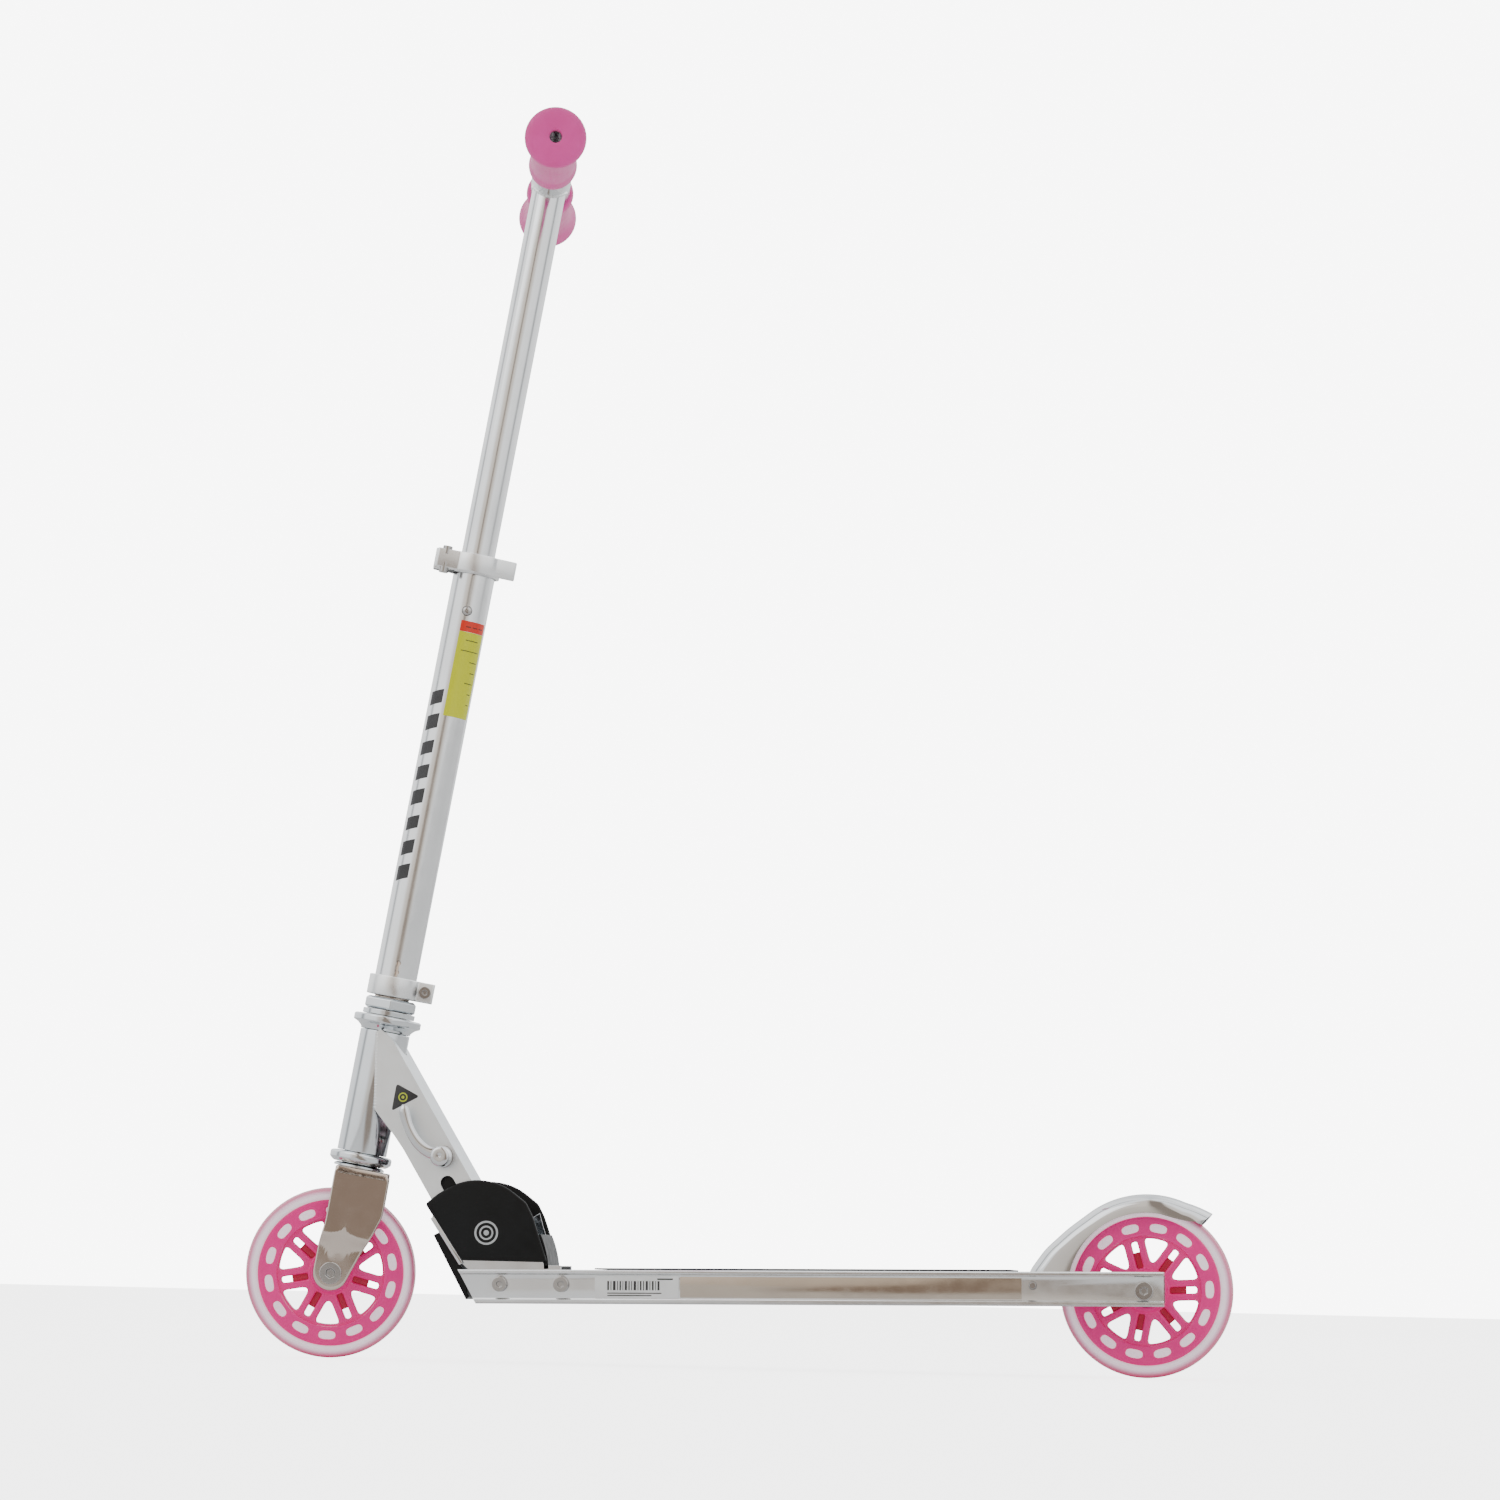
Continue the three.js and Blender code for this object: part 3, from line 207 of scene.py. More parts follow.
@dataclass
class Skin:
    """A mesh in the making: points in local millimetres, faces, and a tone for each point."""

    points: list[Points] = field(default_factory=list)
    faces: list[list[int]] = field(default_factory=list)
    tones: list[Points] = field(default_factory=list)
    count: int = 0

    def add(self, points: Points, faces: list[list[int]], tone: float | Points = 0.0) -> None:
        """Adds points, faces that number them from nought, and their tone."""
        self.points.append(points)
        self.faces.extend([[i + self.count for i in face] for face in faces])
        self.tones.append(np.broadcast_to(np.asarray(tone, float), (len(points),)))
        self.count += len(points)

    def grid(self, rows: Points, closed_rows: bool = False, closed_ring: bool = True, caps: bool = False,
             tone: float | Points = 0.0) -> None:
        """Adds a grid surface of quads.

        Args:
            rows: An array of rows, ring points and three coordinates.
            closed_rows: Whether the last row joins the first.
            closed_ring: Whether each row's last point joins its first.
            caps: Whether the first and last rows are closed by one face each.
            tone: One tone, or one for each row.
        """
        m, n = rows.shape[:2]
        number = np.arange(m * n).reshape(m, n)
        number = np.vstack([number, number[:1]]) if closed_rows else number
        number = np.hstack([number, number[:, :1]]) if closed_ring else number
        quads = np.stack([number[:-1, :-1], number[:-1, 1:], number[1:, 1:], number[1:, :-1]], -1)
        faces = quads.reshape(-1, 4).tolist()
        if caps:
            faces.append(list(range(n - 1, -1, -1)))
            faces.append(list(range((m - 1) * n, m * n)))
        spread = np.broadcast_to(np.asarray(tone, float).reshape(-1, 1), (m, n)).reshape(-1)
        self.add(rows.reshape(-1, 3), faces, spread)

    def turned(self, profile: Points, sides: int = 96, tone: float | Points = 0.0) -> None:
        """Adds a closed profile of radius and height turned about the local Y axis.

        Each point (r, h) runs round (r cos a, h, r sin a).
        """
        a = np.linspace(0, 2 * math.pi, sides, endpoint=False)
        r, h = np.asarray(profile, float).T
        rows = np.stack([r[:, None] * np.cos(a), np.repeat(h[:, None], sides, 1), r[:, None] * np.sin(a)], -1)
        self.grid(rows, closed_rows=True, tone=tone)

    def upright(self, profile: Points, sides: int = 96) -> None:
        """Adds a closed profile of radius and height turned about the local Z axis."""
        a = np.linspace(0, 2 * math.pi, sides, endpoint=False)
        r, h = np.asarray(profile, float).T
        rows = np.stack([r[:, None] * np.cos(a), r[:, None] * np.sin(a), np.repeat(h[:, None], sides, 1)], -1)
        self.grid(rows, closed_rows=True)

    def plate(self, outline: Points, low: float, high: float, ease: float = 0.5, upright: bool = False,
              steps: int = 3) -> None:
        """Adds a flat plate with eased edges.

        The outline is drawn at several heights. At each it is moved in along its normals by
        ease * (1 - cos a) and up by ease * (1 - sin a), so that both edges are quarter rounds.

        Args:
            outline: The closed outline in X and Z, or in X and Y for an upright plate.
            low: The first face's height along the plate's normal.
            high: The second face's height.
            ease: The radius of the edges.
            upright: Whether the plate's normal is Z and not Y.
            steps: Steps in each quarter round.
        """
        normal = outward(outline)
        a = np.linspace(0, math.pi / 2, steps + 1)
        inset = ease * (1 - np.sin(a))
        rise = ease * (1 - np.cos(a))
        inset = np.concatenate([inset, inset[::-1]])
        height = np.concatenate([low + rise, high - rise[::-1]])
        flat = outline[None] - normal[None] * inset[:, None, None]
        tall = np.repeat(height[:, None], len(outline), 1)
        order = [flat[..., 0], flat[..., 1], tall] if upright else [flat[..., 0], tall, flat[..., 1]]
        self.grid(np.stack(order, -1), caps=True)

    def swept(self, path: Points, width: Points, depth: Points, sides: int = 20,
              across: Points | None = None) -> None:
        """Adds a rod with an elliptical section along a path.

        A ring point is the path plus width cos a along the side direction plus depth sin a along
        the upward one, both square to the path.

        Args:
            path: The rod's centre line, one row of three coordinates for each ring.
            width: The half width at each ring.
            depth: The half depth at each ring.
            sides: Points in each ring.
            across: The direction of the depth, which is +Y unless given.
        """
        along = np.gradient(path, axis=0)
        along /= np.linalg.norm(along, axis=1, keepdims=True)
        deep = np.broadcast_to(np.array([0.0, 1.0, 0.0]) if across is None else across, path.shape)
        side = np.cross(along, deep)
        side /= np.linalg.norm(side, axis=1, keepdims=True)
        deep = np.cross(side, along)
        a = np.linspace(0, 2 * math.pi, sides, endpoint=False)
        w, d = np.broadcast_to(width, len(path)), np.broadcast_to(depth, len(path))
        rows = (path[:, None] + side[:, None] * (w[:, None] * np.cos(a))[..., None]
                + deep[:, None] * (d[:, None] * np.sin(a))[..., None])
        self.grid(rows, caps=True)

    def opening(self, hole: Points, border: Points, heights: tuple[float, float], ease: float,
                blind: bool = False, walls: tuple[tuple[int, int], ...] = ()) -> None:
        """Adds the part of a pierced plate round one opening.

        Row by row it goes from the border to the opening's edge on the first face, round the
        edge, down the wall, and back to the border on the second face. A blind one stops at the
        end of the wall, which a face then closes.

        Args:
            hole: The opening's outline, with as many points as the border.
            border: The outline that neighbouring parts share.
            heights: The two faces' heights.
            ease: The radius of the opening's edges.
            blind: Whether the opening has a floor at the second height.
            walls: Ranges of border points along which a wall joins the two faces.
        """
        low, high = heights
        lift = 1 if high > low else -1
        normal = outward(hole)
        a = np.linspace(0, math.pi / 2, 5)
        out = ease * (1 - np.sin(a))
        rise = ease * (1 - np.cos(a)) * lift
        rim = hole + normal * ease
        flats = [(border, low), (0.5 * (border + rim), low)]
        flats += [(hole + normal * o, low + z) for o, z in zip(out, rise)]
        if blind:
            flats.append((hole, high))
        else:
            flats += [(hole + normal * o, high - z) for o, z in zip(out[::-1], rise[::-1])]
            flats += [(0.5 * (border + rim), high), (border, high)]
        rows = np.stack([np.stack([f[:, 0], np.full(len(f), z), f[:, 1]], -1) for f, z in flats])
        self.grid(rows)
        size = len(hole)
        last = self.count - size
        first = self.count - size * len(flats)
        if blind:
            self.faces.append(list(range(last, last + size)))
        for start, end in walls:
            pairs = [(i % size, (i + 1) % size) for i in range(start, end)]
            self.faces += [[first + i, first + j, last + j, last + i] for i, j in pairs]

    def place(self, frame_of: Placement) -> Points:
        """All the points in scene metres."""
        return frame_of.put(np.vstack(self.points))


def solid(name: str, skin: Skin, place: Placement, weld: bool = False) -> bpy.types.Object:
    """Makes an object at the scene's origin from a skin, with outward normals and sharp corners.

    Args:
        name: The piece's name.
        skin: Its surface.
        place: The frame that it is drawn in.
        weld: Whether points that coincide are joined.

    Returns:
        The new object.
    """
    mesh = bpy.data.meshes.new(name)
    mesh.from_pydata(skin.place(place).tolist(), [], skin.faces)
    tone = mesh.attributes.new("tone", "FLOAT", "POINT")
    tone.data.foreach_set("value", np.concatenate(skin.tones).astype(np.float32))
    finish_mesh(mesh, weld)
    made = bpy.data.objects.new(name, mesh)
    bpy.context.scene.collection.objects.link(made)
    return made


def finish_mesh(mesh: bpy.types.Mesh, weld: bool) -> None:
    """Welds if asked, turns faces outwards and marks corners sharp."""
    work = bmesh.new()
    work.from_mesh(mesh)
    if weld:
        bmesh.ops.remove_doubles(work, verts=work.verts, dist=2e-6)
    bmesh.ops.recalc_face_normals(work, faces=work.faces)
    work.to_mesh(mesh)
    work.free()
    mesh.shade_smooth()
    mesh.set_sharp_from_angle(angle=SHARP_ANGLE)


def eased(node: str, name: str, width: float = 0.35, segments: int = 2) -> bpy.types.Object:
    """A copy of a CAD node with its doubles merged, flat areas joined and corners rounded.

    Args:
        node: The CAD node.
        name: The new piece's name.
        width: The bevel's width in millimetres, or nought for none.
        segments: The bevel's segments.

    Returns:
        The new piece, which stands for the node.
    """
    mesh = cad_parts[node].data.copy()
    mesh.name = name
    mesh.materials.clear()
    work = bmesh.new()
    work.from_mesh(mesh)
    bmesh.ops.remove_doubles(work, verts=work.verts, dist=2e-6)
    bmesh.ops.dissolve_limit(work, angle_limit=math.radians(0.6), verts=work.verts, edges=work.edges)
    bmesh.ops.recalc_face_normals(work, faces=work.faces)
    work.to_mesh(mesh)
    work.free()
    mesh.shade_smooth()
    mesh.set_sharp_from_angle(angle=SHARP_ANGLE)
    made = bpy.data.objects.new(name, mesh)
    bpy.context.scene.collection.objects.link(made)
    if width:
        bevel = made.modifiers.new("eased edges", "BEVEL")
        bevel.width = width * MM
        bevel.segments = segments
        bevel.limit_method = "ANGLE"
        bevel.angle_limit = SHARP_ANGLE
        bevel.use_clamp_overlap = True
        bevel.harden_normals = True
    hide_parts(node)
    return made


# ---- finishes ----
class Grain(Enum):
    """Which way a metal's drawing lines run."""

    ALONG_X = (0.06, 1.0, 1.0)
    ALONG_Z = (1.0, 1.0, 0.05)
    NONE = (1.0, 1.0, 1.0)


class Tree:
    """A small builder for the nodes of one tree."""

    def __init__(self, tree: bpy.types.NodeTree) -> None:
        """Takes the tree to add to."""
        self.tree = tree

    def new(self, kind: str, **values: object) -> bpy.types.Node:
        """Adds a node and sets its properties."""
        node = self.tree.nodes.new(kind)
        for key, value in values.items():
            setattr(node, key, value)
        return node

    def link(self, out: Socket, into: Socket) -> None:
        """Joins two sockets."""
        self.tree.links.new(out, into)

    def noise(self, vector: Socket, scale: float, detail: float = 3.0) -> Socket:
        """Noise between nought and one at that many cells a metre."""
        node = self.new("ShaderNodeTexNoise")
        node.inputs["Scale"].default_value = scale
        node.inputs["Detail"].default_value = detail
        self.link(vector, node.inputs["Vector"])
        return node.outputs["Fac"]

    def ramp(self, value: Socket, stops: list[tuple[float, tuple[float, ...]]],
             constant: bool = False) -> Socket:
        """Colours at given places of a value, with straight steps between them unless constant."""
        node = self.new("ShaderNodeValToRGB")
        if constant:
            node.color_ramp.interpolation = "CONSTANT"
        elements = node.color_ramp.elements
        while len(elements) < len(stops):
            elements.new(0.5)
        for element, (place, colour) in zip(elements, stops):
            element.position = place
            element.color = (*colour, 1.0)
        self.link(value, node.inputs["Fac"])
        return node.outputs["Color"]

    def spread(self, value: Socket, low: float, high: float,
               start: float = 0.3, end: float = 0.7) -> Socket:
        """A value between start and end mapped to low and high."""
        node = self.new("ShaderNodeMapRange")
        for key, number in (("From Min", start), ("From Max", end), ("To Min", low), ("To Max", high)):
            node.inputs[key].default_value = number
        self.link(value, node.inputs["Value"])
        return node.outputs["Result"]

    def maths(self, operation: str, first: Socket, second: Socket | float = 0.0) -> Socket:
        """One sum of two values, of which the second may be a plain number."""
        node = self.new("ShaderNodeMath", operation=operation)
        self.link(first, node.inputs[0])
        if isinstance(second, float):
            node.inputs[1].default_value = second
        else:
            self.link(second, node.inputs[1])
        return node.outputs["Value"]

    def parts(self, vector: Socket) -> list[Socket]:
        """A vector's X, Y and Z."""
        node = self.new("ShaderNodeSeparateXYZ")
        self.link(vector, node.inputs["Vector"])
        return [node.outputs[axis] for axis in "XYZ"]

    def scaled(self, colour: Socket, by: Socket) -> Socket:
        """A colour times a value."""
        node = self.new("ShaderNodeVectorMath", operation="SCALE")
        self.link(colour, node.inputs[0])
        self.link(by, node.inputs["Scale"])
        return node.outputs["Vector"]

    def mixed(self, factor: Socket, colour: Socket, other: tuple[float, float, float]) -> Socket:
        """A colour that turns into a plain one as the factor rises from nought to one."""
        node = self.new("ShaderNodeMix", data_type="RGBA")
        self.link(factor, node.inputs["Factor"])
        self.link(colour, node.inputs["A"])
        node.inputs["B"].default_value = (*other, 1)
        return node.outputs["Result"]


class Nodes(Tree):
    """A builder for one material's nodes."""

    def __init__(self, name: str) -> None:
        """Starts a material with only its output and its shader."""
        self.material = bpy.data.materials.new(name)
        self.material.use_nodes = True
        super().__init__(self.material.node_tree)
        self.shader = self.tree.nodes["Principled BSDF"]

    def coordinates(self, scale: tuple[float, float, float]) -> Socket:
        """Object coordinates stretched by a scale along each axis."""
        mapping = self.new("ShaderNodeMapping")
        mapping.inputs["Scale"].default_value = scale
        self.link(self.new("ShaderNodeTexCoord").outputs["Object"], mapping.inputs["Vector"])
        return mapping.outputs["Vector"]

    def bumps(self, heights: list[tuple[Socket, float, float]]) -> None:
        """Chains bump nodes of a height, a strength and a depth in metres into the shader."""
        last = None
        for height, strength, distance in heights:
            node = self.new("ShaderNodeBump")
            node.inputs["Strength"].default_value = strength
            node.inputs["Distance"].default_value = distance
            self.link(height, node.inputs["Height"])
            if last:
                self.link(last, node.inputs["Normal"])
            last = node.outputs["Normal"]
        self.link(last, self.shader.inputs["Normal"])


@dataclass(frozen=True)
class Metal:
    """A bare or plated metal: its colour, how dull it is, its drawing lines and its marks."""

    name: str
    slot: str
    colour: tuple[float, float, float]
    rough: tuple[float, float]
    grain: Grain = Grain.NONE
    lines: float = 0.0
    ripple: float = 0.06

    def material(self) -> bpy.types.Material:
        """Cloudy roughness with fine scratches, drawing lines and a slow ripple.

        Returns:
            The material.
        """
        n = Nodes(self.name)
        n.shader.inputs["Metallic"].default_value = 1.0
        plain = n.coordinates((1, 1, 1))
        drawn = n.coordinates(self.grain.value)
        cloud = n.noise(plain, 26, 4)
        dark = tuple(c * 0.93 for c in self.colour)
        n.link(n.ramp(cloud, [(0.35, dark), (0.65, self.colour)]), n.shader.inputs["Base Color"])
        fine = n.noise(drawn, 2600, 2)
        rough = n.spread(n.noise(plain, 90, 5), self.rough[0], self.rough[1])
        n.link(rough, n.shader.inputs["Roughness"])
        n.bumps([(n.noise(plain, 14, 2), self.ripple, 0.004), (fine, 0.04 + self.lines, 0.00004)])
        return n.material


@dataclass(frozen=True)
class Moulded:
    """A moulded plastic or rubber: two close shades, its gloss, its grain and a painted glow."""

    name: str
    slot: str
    dark: tuple[float, float, float]
    light: tuple[float, float, float]
    rough: tuple[float, float]
    grain: float
    bump: float
    sheen: float = 0.0
    glow: float = 0.0
    shine: float = 0.5
    # lit: the strength of a painted glow, an emission of the light shade though the part is no lamp.
    lit: float = 0.0

    def material(self) -> bpy.types.Material:
        """Mottled colour and roughness over a fine moulded grain, with its light shade emitted as a painted
        glow.

        Returns:
            The material.
        """
        n = Nodes(self.name)
        plain = n.coordinates((1, 1, 1))
        n.link(n.ramp(n.noise(plain, 38, 3), [(0.36, self.dark), (0.64, self.light)]),
               n.shader.inputs["Base Color"])
        n.link(n.spread(n.noise(plain, 160, 3), self.rough[0], self.rough[1]), n.shader.inputs["Roughness"])
        n.shader.inputs["Sheen Weight"].default_value = self.sheen
        n.shader.inputs["Specular IOR Level"].default_value = self.shine
        # Painted glow: the surface emits its own light shade.
        n.shader.inputs["Emission Color"].default_value = (*self.light, 1)
        n.shader.inputs["Emission Strength"].default_value = self.lit
        if self.glow:
            n.shader.inputs["Subsurface Weight"].default_value = self.glow
            n.shader.inputs["Subsurface Radius"].default_value = (0.004, 0.0015, 0.002)
            n.shader.inputs["Subsurface Scale"].default_value = 1.0
        n.bumps([(n.noise(plain, self.grain, 2), self.bump, 0.0001)])
        return n.material


@dataclass(frozen=True)
class Toned:
    """A plastic whose colour follows the piece's own tone attribute, and which emits it as a painted glow."""

    name: str
    slot: str
    stops: tuple[tuple[float, tuple[float, float, float]], ...]
    rough: tuple[float, float]
    clear: float = 0.0
    metallic: float = 0.0
    stepped: bool = False
    coat: float = 0.0
    # lit: the strength of a painted glow, an emission of the colour though the part is no lamp.
    lit: float = 0.0

    def material(self) -> bpy.types.Material:
        """Colours placed along the tone, slightly clouded, over a satin skin, and emitted as a painted glow.

        Returns:
            The material.
        """
        n = Nodes(self.name)
        tone = n.new("ShaderNodeAttribute", attribute_name="tone").outputs["Fac"]
        plain = n.coordinates((1, 1, 1))
        mix = n.new("ShaderNodeMix", data_type="RGBA", blend_type="MULTIPLY")
        mix.inputs["Factor"].default_value = 0.35
        n.link(n.ramp(tone, list(self.stops), self.stepped), mix.inputs["A"])
        n.link(n.ramp(n.noise(plain, 45, 3), [(0.3, (0.78, 0.78, 0.78)), (0.7, (1, 1, 1))]), mix.inputs["B"])
        n.link(mix.outputs["Result"], n.shader.inputs["Base Color"])
        # Painted glow: the colour is also emitted.
        n.link(mix.outputs["Result"], n.shader.inputs["Emission Color"])
        n.shader.inputs["Emission Strength"].default_value = self.lit
        n.link(n.spread(n.noise(plain, 140, 3), self.rough[0], self.rough[1]), n.shader.inputs["Roughness"])
        n.shader.inputs["Transmission Weight"].default_value = self.clear
        n.shader.inputs["Metallic"].default_value = self.metallic
        n.shader.inputs["Coat Weight"].default_value = self.coat
        n.shader.inputs["IOR"].default_value = 1.47
        n.bumps([(n.noise(plain, 1300, 2), 0.05, 0.0001)])
        return n.material


@dataclass(frozen=True)
class Grit:
    """Grip tape: dark paper with close mineral grains, their glints painted as pale middles."""

    name: str = "grip tape grit"
    slot: str = "grip_tape"

    def material(self) -> bpy.types.Material:
        """Small cells for the grains, paler than the paper and palest in the middle as a painted glint, and
        worn cloudy patches.

        Returns:
            The material.
        """
        n = Nodes(self.name)
        plain = n.coordinates((1, 1, 1))
        cells = n.new("ShaderNodeTexVoronoi")
        cells.inputs["Scale"].default_value = 1900
        n.link(plain, cells.inputs["Vector"])
        # Each grain's pale middle is a painted glint.
        n.link(n.ramp(cells.outputs["Distance"], [(0.1, (0.09, 0.09, 0.095)), (0.5, (0.012, 0.012, 0.013))]),
               n.shader.inputs["Base Color"])
        n.link(n.spread(n.noise(plain, 30, 4), 0.75, 0.95), n.shader.inputs["Roughness"])
        n.bumps([(cells.outputs["Distance"], 0.9, 0.0004), (n.noise(plain, 900, 4), 0.5, 0.0003)])
        return n.material


def srgb(red: float, green: float, blue: float) -> tuple[float, float, float]:
    """A colour of 0 to 255 display values as linear light."""
    values = np.array([red, green, blue]) / 255
    linear = np.where(values <= 0.04045, values / 12.92, ((values + 0.055) / 1.055) ** 2.4)
    return tuple(float(v) for v in linear)


DECK_METAL = Metal("drawn deck aluminium", "deck_aluminium", srgb(226, 228, 229), (0.14, 0.22),
                   Grain.ALONG_X, lines=0.05)
NECK_METAL = Metal("polished neck aluminium", "neck_aluminium", srgb(232, 236, 238), (0.30, 0.42), lines=0.02)
STEM_METAL = Metal("polished stem aluminium", "stem_aluminium", srgb(230, 232, 233), (0.10, 0.18),
                   Grain.ALONG_Z, lines=0.06)
CLAMP_METAL = Metal("satin clamp aluminium", "clamp_aluminium", srgb(236, 238, 238), (0.24, 0.36), lines=0.03)
# Grey chrome whose warm brown tint is painted reflection of the brown room in front.
FORK_CHROME = Metal("fork chrome", "fork_chrome", srgb(206, 194, 184), (0.05, 0.12), ripple=0.10)
HEAD_CHROME = Metal("head chrome", "head_chrome", srgb(212, 216, 219), (0.05, 0.12), ripple=0.08)
FENDER_CHROME = Metal("fender chrome", "fender_chrome", srgb(208, 210, 212), (0.04, 0.10), ripple=0.10)
BRACKET_CHROME = Metal("bracket chrome", "bracket_chrome", srgb(220, 223, 226), (0.05, 0.12))
BOLT_STEEL = Metal("bolt steel", "bolt_steel", srgb(176, 174, 172), (0.12, 0.20), lines=0.05)
BLACK_COVER = Moulded("black cover plastic", "black_cover", srgb(4, 5, 6), srgb(9, 10, 12),
                      (0.34, 0.48), 900, 0.22, shine=0.22)
# The grip's lit value is a painted glow.
PINK_GRIP = Moulded("pink grip rubber", "pink_grip", srgb(214, 58, 146), srgb(224, 68, 158),
                    (0.45, 0.58), 2200, 0.30, sheen=0.2, glow=0.12, lit=0.12)
PINK_RIM = Toned(
    "pink rim plastic", "pink_rim",
    # Tone one, the darkest pink, is painted shade for the recessed webs.
    ((0.0, srgb(240, 36, 140)), (0.5, srgb(230, 34, 132)), (1.0, srgb(184, 0, 66))),
    # The rim's lit value is a painted glow.
    (0.26, 0.40), coat=0.2, lit=0.12,
)
CLEAR_TYRE = Toned(
    "clear urethane", "clear_tyre",
    ((0.0, srgb(240, 212, 228)), (0.1, srgb(250, 236, 246)), (0.42, srgb(248, 228, 240)),
     (0.6, srgb(226, 180, 202)), (0.78, srgb(206, 104, 142)), (1.0, srgb(190, 48, 96))),
    # The tyre's lit value is a painted glow.
    (0.16, 0.28), clear=0.04, coat=0.3, lit=0.45,
)
# The windows' lit value is a painted glow.
WINDOW_CLEAR = Moulded("window urethane", "clear_tyre", srgb(242, 216, 232), srgb(252, 234, 244),
                       (0.2, 0.32), 1300, 0.05, glow=0.1, lit=0.45)
LABEL_FILM = Toned(
    "printed film", "yellow_label",
    ((0.0, srgb(214, 220, 0)), (0.5, srgb(226, 44, 14)), (0.9, srgb(30, 30, 10))),
    (0.30, 0.42), stepped=True, coat=0.2,
)
PALE_FILM = Moulded("pale film", "black_cover", srgb(226, 228, 228), srgb(238, 240, 240),
                    (0.35, 0.5), 700, 0.05)
LIME_FILM = Moulded("lime film", "yellow_label", srgb(176, 190, 48), srgb(196, 208, 62),
                    (0.35, 0.5), 700, 0.05)
DARK_PRINT = Moulded("dark print", "black_cover", srgb(34, 34, 36), srgb(46, 46, 48), (0.35, 0.5), 700, 0.05)
GREY_PRINT = Moulded("grey print", "black_cover", srgb(168, 172, 174), srgb(186, 190, 192),
                     (0.35, 0.5), 700, 0.05)
# A brownish strip on the deck's near side: painted reflection of the brown room in front, not a real trim.
PAINTED_REFLECTION_STRIP = Metal("painted reflection strip", "deck_aluminium", srgb(190, 178, 164), (0.10, 0.20),
                   Grain.ALONG_X, lines=0.10)
ELASTIC = Moulded("woven elastic", "elastic_cord", srgb(30, 30, 32), srgb(48, 48, 50), (0.6, 0.8), 2600, 0.6)
Finish = Metal | Moulded | Toned | Grit
_made: dict[str, bpy.types.Material] = {}


def dress(piece: bpy.types.Object, finish: Finish, body: str, *nodes: str) -> bpy.types.Object:
    """Gives a piece its finish and its body, and hides the CAD nodes that it stands for.

    Args:
        piece: The piece.
        finish: Its finish.
        body: The CAD body that it rides on.
        nodes: The CAD nodes that it stands for.

    Returns:
        The piece.
    """
    if finish.name not in _made:
        _made[finish.name] = finish.material()
    piece.data.materials.clear()
    piece.data.materials.append(_made[finish.name])
    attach(piece, body)
    if nodes:
        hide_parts(*nodes)
    LOG.info("%s rides on %s", piece.name, body)
    return piece


